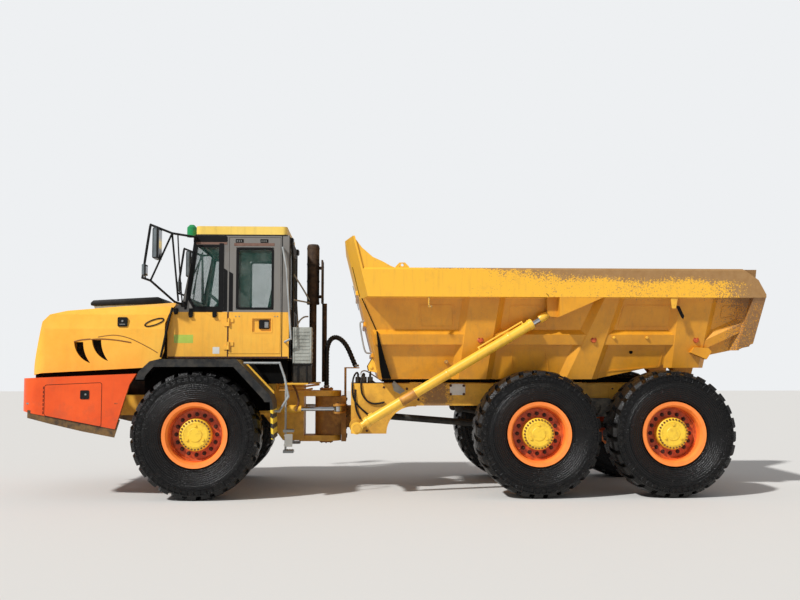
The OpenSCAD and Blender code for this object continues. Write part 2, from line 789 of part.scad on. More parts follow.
module hitch_hose() {
  color("#1f2022") truck() {
    z0 = ear_top_z + gap + 28;
    translate([pivot_x, 0, z0]) cylinder(h = 480, r = 34);
    translate([pivot_x + 200, 0, z0 + 480]) rotate([90, 0, 0])
      rotate_extrude(angle = 180) translate([200, 0]) circle(r = 34);
    translate([pivot_x + 400, 0, 1602]) cylinder(h = z0 - 1602 + 480, r = 34);
  }
}

// Steering cylinders between the front frame and the hitch
steer_z = 1060;
steer_y = 540;
steer_front_x = pivot_x - 1250;
steer_rear_x = pivot_x + 160;
steer_rod_r = 27;
steer_pin_r = 25;
module steer_lug(z) {
  translate([0, 0, z]) linear_extrude(24) {
    translate([steer_front_x - 50, front_rail_half - 1])
      square([100, steer_y - front_rail_half]);
    translate([steer_front_x, steer_y]) circle(r = 55);
  }
}
module steer_barrel() {
  translate([steer_front_x, steer_y, steer_z]) {
    difference() {
      union() {
        cylinder(h = 60, r = 55, center = true);
        rotate([0, 90, 0]) cylinder(h = 100, r = steer_rod_r);
        translate([75, 0, 0]) rotate([0, 90, 0]) cylinder(h = 865, r = 50);
      }
      cylinder(h = 70, r = steer_pin_r + fit, center = true);
      translate([110, 0, 0]) rotate([0, 90, 0]) cylinder(h = 900, r = steer_rod_r + fit);
    }
  }
}
module steer_rod() {
  translate([steer_rear_x, steer_y, steer_z]) {
    cylinder(h = 60, r = 50, center = true);
    translate([-885, 0, 0]) rotate([0, 90, 0]) cylinder(h = 840, r = steer_rod_r);
  }
}

// Rear frame
gusset_r = 350;
module rear_frame() {
  color(yellow) truck() {
    z0 = rear_rail_z - rear_rail_h;
    end_x = hinge_x + 150;
    in_y = rear_rail_half - rear_rail_w;
    // Front plate with the bearing of the oscillation tube
    difference() {
      union() {
        box(plate_x, plate_x + 40, -rear_rail_half, rear_rail_half, 742, rear_rail_z);
        bar_x(plate_x, plate_x + 400, 0, osc_z, osc_r + 70);
      }
      bar_x(plate_x - 5, plate_x + 410, 0, osc_z, osc_r + fit);
    }
    both() {
      box(plate_x + 39, end_x, in_y, rear_rail_half, z0, rear_rail_z);
      // Gusset that sweeps down to the lower hoist pin
      difference() {
        box(plate_x + 39, plate_x + 39 + 460 + gusset_r, rear_rail_half - 40,
            rear_rail_half, 742, z0 + 5);
        bar_y(plate_x + 460 + gusset_r, 742, 0, 2000, gusset_r);
      }
      hoist_boss();
      // Ears of the bin hinge
      difference() {
        union() {
          bar_y(hinge_x, hinge_z, in_y, rear_rail_half, 95);
          box(hinge_x - 95, hinge_x + 95, in_y, rear_rail_half, rear_rail_z - 10, hinge_z);
        }
        bar_y(hinge_x, hinge_z, in_y - 5, rear_rail_half + 5, hinge_pin_r + fit);
      }
      // Bracket and stub that carry the walking beam
      side(rear_rail_half - 60, rear_rail_half, [
        [beam_x - 230, z0 + 5], [beam_x + 230, z0 + 5],
        [beam_x + 90, beam_z - 100], [beam_x - 90, beam_z - 100]
      ]);
      bar_y(beam_x, beam_z, rear_rail_half - 10, rear_rail_half + 40, 60);
    }
    // Pads that the bin rests on
    both() for (x = [plate_x + 760, mid_x - 420, mid_x + 560])
      box(x, x + 160, in_y, rear_rail_half, rear_rail_z - 1, bin_z - fit);
    // Towing lug at the rear
    difference() {
      box(end_x - 1, end_x + 110, -90, 90, z0 + 60, z0 + 100);
      translate([end_x + 60, 0, z0]) cylinder(h = 200, r = tow_r);
    }
    // Cross members: x0, x1, z0, z1
    members = [
      [plate_x + 700, plate_x + 780, z0, rear_rail_z - 60],
      [mid_x - 480, mid_x - 400, z0 + 40, rear_rail_z - 40],
      [beam_x - 90, beam_x + 90, z0 + 20, rear_rail_z - 40],
      [hinge_x + 40, hinge_x + 150, z0 + 20, rear_rail_z - 20]
    ];
    for (m = members) box(m[0], m[1], -in_y - 1, in_y + 1, m[2], m[3]);
  }
}
module hoist_boss() {
  translate([hoist_low_x, rear_rail_half - 5, hoist_low_z]) rotate([-90, 0, 0]) {
    cylinder(h = hoist_y - 40 - gap - rear_rail_half + 5, r1 = 95, r2 = 62);
    cylinder(h = hoist_y + 60 - rear_rail_half + 5, r = hoist_pin_r);
    translate([0, 0, hoist_y + 40 + gap - rear_rail_half + 5]) cylinder(h = 18, r = 52);
  }
}
module walking_beams() {
  color(dark) truck() both() {
    y0 = rear_rail_half + 40;
    seat = hub_z + 110 + fit;
    side(y0, y0 + 90, [
      [mid_x - 120, seat], [mid_x + 130, seat], [beam_x - 300, beam_z - 130],
      [beam_x + 300, beam_z - 130], [rear_x - 130, seat], [rear_x + 120, seat],
      [rear_x + 120, hub_z + 230], [beam_x + 200, beam_z + 110],
      [beam_x - 200, beam_z + 110], [mid_x - 120, hub_z + 230]
    ]);
  }
}
module rear_axles() {
  color("#3b3d3f") truck() {
    axle_form(mid_x);
    axle_form(rear_x);
  }
}
module driveshafts() {
  color("#6b6e70") truck() {
    bar_x(mid_x + 300, rear_x - 300, 0, hub_z + 40, 45);
    // Shaft from the oscillation tube to the middle axle, with its joints
    x0 = plate_x + 500;
    x1 = mid_x - 360;
    bar([x0, 0, osc_z], [x1, 0, hub_z + 40], 45);
    bar_x(x1 - 20, mid_x - 300, 0, hub_z + 40, 70);
  }
}

// Bin. The side plates lean out from the floor by a fixed slope.
wall_slope = 0.29;
function wall_y(z) = bin_floor_half + (z - bin_z) * wall_slope;
rail_z = bin_top_z - bin_rail_h;
kick_x = mid_x + 820;
kick_rise = 0.21;
function floor_z(x) = bin_z + max(0, x - kick_x) * kick_rise;
tip_x = pivot_x + tip_back;
lean_t = tan(head_lean);
function head_x(z) = tip_x + (tip_z - z) * lean_t;
chute_x = tail_x - 75;
wing_x = 100;
// Side outline of the load space; i sets the outline in by a plate
function bin_outline(i) = [
  [head_x(bin_z), bin_z + i], [kick_x - i * 0.1, bin_z + i],
  [tail_x + 50, floor_z(tail_x + 50) + i], [tail_x + 50, bin_top_z + 600],
  [head_x(bin_top_z + 600), bin_top_z + 600]
];
// Wedge ahead of the headboard's rear face, leaning with it
module head_wedge(i) {
  translate([tip_x, 0, tip_z]) rotate([0, -head_lean, 0]) translate([0, 0, -2400])
    linear_extrude(2800) polygon([
      [-900, -1600], [wing_x + i + 200, -1600], [wing_x + i * 1.1, -bin_half],
      [i, -head_half + i * 0.3], [i, head_half - i * 0.3],
      [wing_x + i * 1.1, bin_half], [wing_x + i + 200, 1600], [-900, 1600]
    ]);
}
module bin_headboard() {
  color(yellow) truck() difference() {
    intersection() {
      difference() {
        head_wedge(bin_t);
        head_wedge(0);
      }
      // Below the rails the plate ends at the side plates
      union() {
        cross(tip_x - 50, tip_x + 1400, [
          [-wall_y(bin_z), bin_z], [wall_y(bin_z), bin_z],
          [wall_y(rail_z), rail_z], [-wall_y(rail_z), rail_z]
        ]);
        box(tip_x - 50, tip_x + 900, -bin_half, bin_half, rail_z, tip_z);
      }
    }
    box(tip_x - 100, tip_x + 900, -2000, 2000, tip_z - 60, tip_z + 200);
  }
  // Wings on the rails, their top edge hollowed
  color(yellow) truck() both() difference() {
    side(25 - bin_half, 49 - bin_half, wing_line);
    head_wedge(bin_t);
  }
}
wing_line = [
  [tip_x - 60, bin_top_z], [tip_x - 60, tip_z], [tip_x + 35, tip_z],
  [tip_x + 103, tip_z - 34], [tip_x + 231, tip_z - 203], [tip_x + 366, tip_z - 320],
  [tip_x + 489, tip_z - 375], [tip_x + 588, tip_z - 431], [tip_x + 640, bin_top_z]
];
module bin_floor() {
  in_y = rear_rail_half - rear_rail_w;
  color(yellow) truck() {
    difference() {
      intersection() {
        cross(tip_x, tail_x, [
          [-wall_y(bin_z), bin_z], [wall_y(bin_z), bin_z],
          [wall_y(bin_top_z), bin_top_z], [-wall_y(bin_top_z), bin_top_z]
        ]);
        difference() {
          side(-1500, 1500, bin_outline(0));
          side(-1500, 1500, bin_outline(bin_t));
        }
        box(tip_x, chute_x, -1500, 1500, 1300, 2200);
      }
      head_wedge(bin_t);
      cross_wall(0, 400);
      mirror([0, 1, 0]) cross_wall(0, 400);
    }
    // Hinge ears and pins under the chute
    both() {
      for (y = [in_y - gap - hinge_ear_t, rear_rail_half + gap]) difference() {
        union() {
          bar_y(hinge_x, hinge_z, y, y + hinge_ear_t, 90);
          side(y, y + hinge_ear_t, [
            [hinge_x - 90, hinge_z], [hinge_x + 90, hinge_z],
            [hinge_x + 160, floor_z(hinge_x + 160) + 4],
            [hinge_x - 220, floor_z(hinge_x - 220) + 4]
          ]);
        }
      }
      bar_y(hinge_x, hinge_z, in_y - gap - 1, rear_rail_half + gap + 1, hinge_pin_r);
    }
  }
}
// Sloping slab on the left wall line, from depth d0 inside to d1 outside
module cross_wall(d0, d1) {
  z0 = bin_z - 200;
  z1 = bin_top_z + 100;
  cross(tip_x, tail_x + 60, [
    [-wall_y(z0) + bin_t - d0, z0], [-wall_y(z0) - d1, z0],
    [-wall_y(z1) - d1, z1], [-wall_y(z1) + bin_t - d0, z1]
  ]);
}
// Ribs: front and rear x at the top, front and rear x at the foot, foot z
ribs = [
  [mid_x - 826, mid_x - 449, mid_x - 943, mid_x - 592, bin_z],
  [mid_x + 874, mid_x + 1069, mid_x + 427, mid_x + 766, bin_z],
  [mid_x + 1837, mid_x + 2263, mid_x + 1791, mid_x + 2120, bin_z + 145]
];
// Trapezoid ribs in the plane of the wall: both edges slope to the wall
wall_ang = atan(wall_slope);
module wall_prism(x0, z0, x1, z1, pts) {
  translate([x0, -wall_y(z0), z0]) rotate([wall_ang, 0, 0])
    rotate([0, atan2(x1 - x0, (z1 - z0) / cos(wall_ang)), 0])
      translate([0, 0, -300]) linear_extrude(2000) polygon(pts);
}
module rib_forms() {
  d = -rib_d * cos(wall_ang);
  e = rib_bevel * 6 / d;
  for (r = ribs) intersection() {
    cross_wall(bin_t, rib_d);
    box(mid_x - 1300, tail_x, -1500, 0, r[4], rail_z);
    wall_prism(r[2], bin_z, r[0], rail_z,
               [[-rib_bevel + e, 6], [0, d], [0, 2 * d], [900, 2 * d], [900, 6]]);
    wall_prism(r[3], bin_z, r[1], rail_z,
               [[rib_bevel - e, 6], [0, d], [0, 2 * d], [-900, 2 * d], [-900, 6]]);
  }
}
// Step bracket on the rear rib
module rib_ledge() {
  difference() {
    side(-1090, -900, [
      [mid_x + 2006, 1785], [mid_x + 2056, 1853], [mid_x + 2237, 1845],
      [mid_x + 2276, 1795], [mid_x + 2210, 1699]
    ]);
    cross_wall(-400, rib_d);
  }
}
// Lifting eyes that stand on the rails
module lift_eyes() {
  color(yellow) truck() both() difference() {
    side(26 - bin_half, 50 - bin_half, [
      [lift_x - 85, bin_top_z], [lift_x + 85, bin_top_z],
      [lift_x + 85, bin_top_z + 10], [lift_x + 35, bin_top_z + 62],
      [lift_x - 35, bin_top_z + 62], [lift_x - 85, bin_top_z + 10]
    ]);
    bar_y(lift_x, bin_top_z + 32, -bin_half, 60 - bin_half, lift_r);
  }
}
module bin_side() {
  difference() {
    union() {
      // Side plate
      intersection() {
        cross_wall(0, 0);
        side(-1500, 0, bin_outline(0));
        box(tip_x, chute_x, -1500, 0, 1300, bin_top_z);
      }
      // Stringer with its bevelled top, cut where the ribs cross it
      difference() {
        union() {
          cross(tip_x + 300, mid_x + 2200, [
            [-wall_y(2074) + 1, 2074], [-wall_y(2011) - 70, 2011],
            [-wall_y(1884) - 70, 1884], [-wall_y(1884) + 1, 1884]
          ]);
          // Rear stretch that climbs to the tail
          intersection() {
            translate([mid_x + 2310, -wall_y(2010), 2010]) rotate([wall_ang, 0, 0])
              rotate([0, 64, 0]) translate([0, 0, -250]) linear_extrude(900)
                polygon([[-66, 2], [0, -67], [105, -67], [105, 2]]);
            box(mid_x + 2160, tail_x - 170, -1500, 0, 1700, rail_z);
          }
        }
        rib_forms();
      }
      // Top rail, its tail cut back
      intersection() {
        cross(tip_x, tail_x, [
          [-wall_y(rail_z) + 1, rail_z], [-bin_half, rail_z],
          [-bin_half, bin_top_z - 25], [25 - bin_half, bin_top_z],
          [-wall_y(bin_top_z) + 1, bin_top_z]
        ]);
        side(-1500, 0, [
          [tip_x, rail_z], [tail_x, rail_z], [tail_x, rail_z + 40],
          [tail_x - 95, rail_z + 220], [tail_x - 290, bin_top_z], [tip_x, bin_top_z]
        ]);
      }
      // Tail plate
      intersection() {
        cross(tip_x, tail_x, [
          [-wall_y(rail_z) + 1, rail_z + 5], [10 - bin_half, rail_z + 5],
          [-wall_y(1800) - 90, 1800], [-wall_y(1800) + 1, 1800]
        ]);
        side(-1500, 0, [
          [tail_x - 160, rail_z + 5], [tail_x, rail_z + 5], [tail_x - 75, 1900],
          [chute_x - 199, 1815]
        ]);
      }
      // Post with its front edge bevelled to the wall
      intersection() {
        cross_wall(bin_t, 90);
        wall_prism(chute_x - 199, 1815, tail_x - 160, rail_z + 5,
                   [[-85, 6], [0, -86], [25, -86], [25, 6]]);
        box(mid_x, tail_x, -1500, 0, 1815, rail_z + 1);
      }
      // Bracket of the hoist rod eye
      hoist_bracket();
    }
    head_wedge(bin_t);
  }
}
module hoist_bracket() {
  x = hoist_top_x;
  z = hoist_top_z;
  // Gusset with a slot that the rod eye swings through
  difference() {
    for (y = [[-bin_half, -hoist_y - 40 - gap], [gap + 40 - hoist_y, -900]])
      side(y[0], y[1], [[x + 75, z - 60], [x + 640, rail_z + 2], [x + 75, rail_z + 2]]);
    cross_wall(-400, -1);
    rib_forms();
  }
  for (y = [-hoist_y - 40 - gap - 30, -hoist_y + 40 + gap]) side(y, y + 30, [
    [x - 60, rail_z + 2], [x - 55, z - 10], [x - 20, z - 55], [x + 80, z - 60],
    [x + 80, rail_z + 2]
  ]);
}
module bin_ribs_left() {
  color(yellow) truck() {
    rib_forms();
    rib_ledge();
  }
}
module bin_ribs_right() {
  color(yellow) truck() mirror([0, 1, 0]) {
    rib_forms();
    rib_ledge();
  }
}
module bin_side_left() {
  color(yellow) truck() bin_side();
}
module bin_side_right() {
  color(yellow) truck() mirror([0, 1, 0]) bin_side();
}

// Hoist cylinders, drawn along X from the lower pin
module along_hoist() {
  truck() both() translate([hoist_low_x, hoist_y, hoist_low_z])
    rotate([0, -hoist_ang, 0]) children();
}
// From the gland of the barrel to the pin of the rod eye
rod_show = 270;
barrel_len = hoist_len - rod_show;
module hoist_barrels() {
  color(yellow) along_hoist() difference() {
    union() {
      rotate([90, 0, 0]) cylinder(h = 80, r = 75, center = true);
      bar_x(0, 130, 0, 0, 38);
      bar_x(115, barrel_len, 0, 0, hoist_r);
      bar_x(barrel_len - 60, barrel_len, 0, 0, hoist_r + 8);
      // Oil pipe along the top of the barrel
      tube([[0.71 * barrel_len, 0, hoist_r - 6], [0.71 * barrel_len, 0, hoist_r + 26],
            [barrel_len - 110, 0, hoist_r + 26], [barrel_len - 110, 0, hoist_r - 6]], 11);
    }
    rotate([90, 0, 0]) cylinder(h = 90, r = hoist_pin_r + fit, center = true);
    bar_x(150, barrel_len + 10, 0, 0, hoist_rod_r + fit);
  }
}
module hoist_rods() {
  color("#b9bcbe") along_hoist() difference() {
    union() {
      bar_x(160, hoist_len - hoist_pin_r - 8, 0, 0, hoist_rod_r);
      bar_x(hoist_len - 170, hoist_len - 85, 0, 0, hoist_rod_r + 14);
      translate([hoist_len, 0, 0]) rotate([90, 0, 0]) cylinder(h = 80, r = 58, center = true);
    }
    translate([hoist_len, 0, 0]) rotate([90, 0, 0])
      cylinder(h = 90, r = hoist_pin_r + fit, center = true);
  }
}

front_frame();
rear_deck();
tow_lugs();
engine_block();
front_skirt();
headlamps();
fenders();
cab_tub();
cab_frame();
cab_roof();
cab_glass();
driver_seat();
dash_console();
mirrors();
beacon();
steps_rails();
exhaust_stack();
louvred_box();
battery_box();
front_axle();
hood();
hood_top();
hood_grille();
cab_door();
door_glass();
hitch();
hitch_hose();
color(yellow) truck() mirror([0, 1, 0]) steer_barrel();  // steer_barrel_left
color(yellow) truck() steer_barrel();  // steer_barrel_right
color(steel) truck() mirror([0, 1, 0]) steer_rod();  // steer_rod_left
color(steel) truck() steer_rod();  // steer_rod_right
rear_frame();
walking_beams();
rear_axles();
driveshafts();
bin_floor();
bin_side_left();
bin_side_right();
bin_ribs_left();
bin_ribs_right();
lift_eyes();
bin_headboard();
hoist_barrels();
hoist_rods();
tyre(0, -1);  // tyre_front_left
tyre(0, 1);  // tyre_front_right
tyre(mid_x, -1);  // tyre_mid_left
tyre(mid_x, 1);  // tyre_mid_right
tyre(rear_x, -1);  // tyre_rear_left
tyre(rear_x, 1);  // tyre_rear_right
rim(0, -1);  // rim_front_left
rim(0, 1);  // rim_front_right
rim(mid_x, -1);  // rim_mid_left
rim(mid_x, 1);  // rim_mid_right
rim(rear_x, -1);  // rim_rear_left
rim(rear_x, 1);  // rim_rear_right
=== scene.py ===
# Articulated six-wheel dump truck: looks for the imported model, in metres.
import bpy, bmesh, math
from mathutils import Matrix, Vector
from mathutils.geometry import interpolate_bezier


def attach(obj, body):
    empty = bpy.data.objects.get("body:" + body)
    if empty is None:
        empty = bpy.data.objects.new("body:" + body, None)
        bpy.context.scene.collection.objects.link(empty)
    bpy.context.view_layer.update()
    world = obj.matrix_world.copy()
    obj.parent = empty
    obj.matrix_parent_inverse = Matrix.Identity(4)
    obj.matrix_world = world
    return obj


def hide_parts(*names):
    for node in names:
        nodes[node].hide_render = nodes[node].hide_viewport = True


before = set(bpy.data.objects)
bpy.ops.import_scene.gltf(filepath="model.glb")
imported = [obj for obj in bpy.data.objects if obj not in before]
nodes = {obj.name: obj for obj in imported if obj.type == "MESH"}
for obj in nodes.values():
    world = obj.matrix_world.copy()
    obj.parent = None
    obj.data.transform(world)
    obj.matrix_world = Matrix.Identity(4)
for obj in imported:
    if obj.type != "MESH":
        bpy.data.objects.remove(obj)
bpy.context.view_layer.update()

scene = bpy.context.scene
frontAxle = -2.4675  # place of the front axle along X; lengths below run from it
axleX = {"front": 0.0, "mid": 4.18, "rear": 5.85}
hubHeight = 0.78


def toLinear(hexText):
    out = []
    for k in (0, 2, 4):
        c = int(hexText[k:k + 2], 16) / 255
        out.append(c / 12.92 if c <= 0.04045 else ((c + 0.055) / 1.055) ** 2.4)
    return (*out, 1.0)


# Adds a node: settings by input or property name, links from a socket or a node
def addNode(tree, kind, settings=None, links=None):
    node = tree.nodes.new("ShaderNode" + kind)
    for key, value in (settings or {}).items():
        if isinstance(key, int) or key in node.inputs:
            node.inputs[key].default_value = value
        else:
            setattr(node, key, value)
    for key, source in (links or {}).items():
        if not hasattr(source, "is_linked"):
            source = source.outputs[2 if source.type == "MIX" else 0]
        tree.links.new(source, node.inputs[key])
    return node


# A new material, its empty tree and the object's own coordinates for the patterns
def newMaterial(name):
    mat = bpy.data.materials.new(name)
    mat.use_nodes = True
    tree = mat.node_tree
    tree.nodes.clear()
    return mat, tree, addNode(tree, "TexCoord").outputs["Object"]


# Ends a material with its shader, which takes the last nodes of each pattern
def closeMaterial(tree, settings, links=None):
    shader = addNode(tree, "BsdfPrincipled", settings, links)
    addNode(tree, "OutputMaterial", None, {"Surface": shader})


# Sprayed enamel over steel plate: clear gloss, chalky where it has faded, brown
# where the paint has chipped, dusty low down, worn along the edges
def sprayedEnamel(name, look):
    look = {"faded": look["colour"], "gloss": 0.34, "grime": "6b5a44", "grimeTop": 1.2,
            "grimeAmount": 0.5, "chips": 0.0, "rust": "6e4a33", "steel": "9a7b5c",
            "edge": 0.25, "edgeColour": "8c7452", "zone": None, "worn": [], "streaks": 0.2,
            **look}
    mat, tree, coords = newMaterial(name)
    axes = addNode(tree, "SeparateXYZ", None, {0: coords})
    noise = {}
    # sizes in millimetres; the orange peel of 1 mm is drawn at 6 mm so that it shows
    for key, size, detail in (("fade", 550, 5), ("splash", 160, 7), ("speck", 16, 4),
                              ("patch", 500, 3), ("wander", 300, 5), ("nick", 70, 5),
                              ("peel", 6, 2), ("dent", 350, 2)):
        noise[key] = addNode(tree, "TexNoise", {
            "Scale": 1000 / size, "Detail": detail, "Roughness": 0.68}, {"Vector": coords})
    amount = addNode(tree, "MapRange", {1: 0.38, 2: 0.66}, {0: noise["fade"]})
    base = addNode(tree, "Mix", {"data_type": "RGBA", 6: toLinear(look["colour"]),
                                 7: toLinear(look["faded"])}, {0: amount})
    # another colour above a height: the door's two-tone paint, and the bin's brighter rail over
    # walls darkened as painted shade
    if look["zone"]:
        level, colour = look["zone"]
        above = addNode(tree, "MapRange", {1: level - 0.001, 2: level + 0.001},
                        {0: axes.outputs[2]})
        base = addNode(tree, "Mix", {"data_type": "RGBA", 7: toLinear(colour)},
                       {0: above, 6: base})
    # streaks that the rain left, 50 mm apart and ten times as long
    drawn = addNode(tree, "Mapping", {"Scale": (1, 1, 0.1)}, {"Vector": coords})
    rain = addNode(tree, "TexNoise", {"Scale": 20, "Detail": 5, "Roughness": 0.65},
                   {"Vector": drawn})
    rain = addNode(tree, "MapRange", {1: 0.5, 2: 0.8, 4: look["streaks"]}, {0: rain})
    base = addNode(tree, "Mix", {"data_type": "RGBA", 7: toLinear(look["grime"])},
                   {0: rain, 6: base})
    # dust and splashes thin out upwards over 0.9 m
    low = addNode(tree, "MapRange", {1: look["grimeTop"], 2: look["grimeTop"] - 0.9},
                  {0: axes.outputs[2]})
    dirt = addNode(tree, "Math", {"operation": "MULTIPLY_ADD", 1: 0.35},
                   {0: low, 2: noise["splash"]})
    dirt = addNode(tree, "MapRange", {1: 0.55, 2: 0.85, 4: look["grimeAmount"]}, {0: dirt})
    base = addNode(tree, "Mix", {"data_type": "RGBA", 7: toLinear(look["grime"])},
                   {0: dirt, 6: base})
    rough = addNode(tree, "Math", {"operation": "MULTIPLY_ADD", 1: 0.4, 2: look["gloss"]},
                    {0: dirt})
    height = addNode(tree, "Math", {"operation": "MULTIPLY_ADD", 1: 0.04},
                     {0: noise["peel"], 2: noise["dent"]})
    if look["chips"]:
        rust = addNode(tree, "Math", {"operation": "MULTIPLY_ADD", 1: 0.35},
                       {0: noise["patch"], 2: noise["speck"]})
        # places where the load rubs: products of ramps along X or Z, wandering
        for zone in look["worn"]:
            here = None
            for axis, start, end, drift in zone["ramps"]:
                edge = addNode(tree, "Math", {"operation": "MULTIPLY_ADD", 1: drift},
                               {0: noise["wander"], 2: axes.outputs[axis]})
                edge = addNode(tree, "MapRange", {1: start + drift / 2, 2: end + drift / 2},
                               {0: edge})
                here = edge if here is None else addNode(
                    tree, "Math", {"operation": "MULTIPLY"}, {0: here, 1: edge})
            rust = addNode(tree, "Math", {"operation": "MULTIPLY_ADD", 1: zone["amount"]},
                           {0: here, 2: rust})
        rust = addNode(tree, "MapRange", {1: 0.88 - look["chips"], 2: 0.96 - look["chips"],
                                          4: 0.85}, {0: rust})
        steel = addNode(tree, "Mix", {"data_type": "RGBA", 6: toLinear(look["rust"]),
                                      7: toLinear(look["steel"])}, {0: noise["nick"]})
        base = addNode(tree, "Mix", {"data_type": "RGBA"}, {0: rust, 6: base, 7: steel})
        rough = addNode(tree, "Math", {"operation": "MULTIPLY_ADD", 1: 0.3},
                        {0: rust, 2: rough})
        height = addNode(tree, "Math", {"operation": "MULTIPLY_ADD", 1: -0.25},
                         {0: rust, 2: height})
    if look["edge"]:
        # where a rounded normal turns away from the plain one there is an edge
        soft = addNode(tree, "Bevel", {"samples": 3, "Radius": 0.008})
        plain = addNode(tree, "NewGeometry")
        turn = addNode(tree, "VectorMath", {"operation": "DOT_PRODUCT"},
                       {0: soft, 1: plain.outputs["Normal"]}).outputs["Value"]
        turn = addNode(tree, "MapRange", {1: 0.97, 2: 0.86}, {0: turn})
        nick = addNode(tree, "MapRange", {1: 0.42, 2: 0.68, 4: look["edge"]},
                       {0: noise["nick"]})
        worn = addNode(tree, "Math", {"operation": "MULTIPLY"}, {0: turn, 1: nick})
        base = addNode(tree, "Mix", {"data_type": "RGBA", 7: toLinear(look["edgeColour"])},
                       {0: worn, 6: base})
    bump = addNode(tree, "Bump", {"Strength": 0.35, "Distance": 0.004}, {"Height": height})
    closeMaterial(tree, {}, {"Base Color": base, "Roughness": rough, "Normal": bump})
    return mat


# Moulded, cast, drawn or woven stuff: one colour clouded by a second, its own
# grain, and dust that lies on what faces up
def plainFinish(name, look):
    look = {"second": look["colour"], "size": 200, "metal": 0.0, "gloss": 0.5, "grain": 4,
            "bump": 0.15, "dust": 0.0, "dustColour": "8b7f6c", "shine": 0.5, "bands": None, **look}
    mat, tree, coords = newMaterial(name)
    cloud = addNode(tree, "TexNoise", {"Scale": 1000 / look["size"], "Detail": 6,
                                       "Roughness": 0.65}, {"Vector": coords})
    amount = addNode(tree, "MapRange", {1: 0.4, 2: 0.65}, {0: cloud})
    base = addNode(tree, "Mix", {"data_type": "RGBA", 6: toLinear(look["colour"]),
                                 7: toLinear(look["second"])}, {0: amount})
    # slanting bands behind a place along X and below a height
    if look["bands"]:
        bands = look["bands"]
        axes = addNode(tree, "SeparateXYZ", None, {0: coords})
        along = addNode(tree, "Math", {"operation": "MULTIPLY_ADD", 1: bands["slant"]},
                        {0: axes.outputs[0], 2: axes.outputs[2]})
        along = addNode(tree, "Math", {"operation": "WRAP", 1: bands["apart"], 2: 0.0},
                        {0: along})
        band = addNode(tree, "Math", {"operation": "LESS_THAN", 1: bands["width"]}, {0: along})
        for axis, at, kind in ((0, bands["behind"], "GREATER_THAN"),
                               (2, bands["below"], "LESS_THAN")):
            here = addNode(tree, "Math", {"operation": kind, 1: at}, {0: axes.outputs[axis]})
            band = addNode(tree, "Math", {"operation": "MULTIPLY"}, {0: band, 1: here})
        base = addNode(tree, "Mix", {"data_type": "RGBA", 7: toLinear(bands["colour"])},
                       {0: band, 6: base})
    rough = addNode(tree, "Math", {"operation": "MULTIPLY_ADD", 1: 0.12,
                                   2: look["gloss"] - 0.06}, {0: cloud})
    # dust where the face looks up, in spots 90 mm across
    if look["dust"]:
        face = addNode(tree, "NewGeometry")
        up = addNode(tree, "SeparateXYZ", None, {0: face.outputs["Normal"]}).outputs[2]
        up = addNode(tree, "MapRange", {1: 0.2, 2: 1.0}, {0: up})
        spots = addNode(tree, "TexNoise", {"Scale": 11, "Detail": 6, "Roughness": 0.65},
                        {"Vector": coords})
        spots = addNode(tree, "MapRange", {1: 0.42, 2: 0.75}, {0: spots})
        lies = addNode(tree, "Math", {"operation": "ADD"}, {0: up, 1: spots})
        lies = addNode(tree, "MapRange", {2: 1.6, 4: look["dust"]}, {0: lies})
        base = addNode(tree, "Mix", {"data_type": "RGBA", 7: toLinear(look["dustColour"])},
                       {0: lies, 6: base})
        rough = addNode(tree, "Math", {"operation": "MULTIPLY_ADD", 1: 0.3},
                        {0: lies, 2: rough})
    grain = addNode(tree, "TexNoise", {"Scale": 1000 / look["grain"], "Detail": 3},
                    {"Vector": coords})
    bump = addNode(tree, "Bump", {"Strength": look["bump"], "Distance": 0.002},
                   {"Height": grain})
    closeMaterial(tree, {"Metallic": look["metal"], "Specular IOR Level": look["shine"]},
                  {"Base Color": base, "Roughness": rough, "Normal": bump})
    return mat


# Distance from the line of an axle, for what runs round a wheel
def wheelRadius(tree, coords, centreX):
    local = addNode(tree, "Mapping", {"Location": (-centreX, 0, -hubHeight),
                                      "Scale": (1, 0, 1)}, {"Vector": coords})
    return addNode(tree, "VectorMath", {"operation": "LENGTH"}, {0: local}).outputs["Value"]


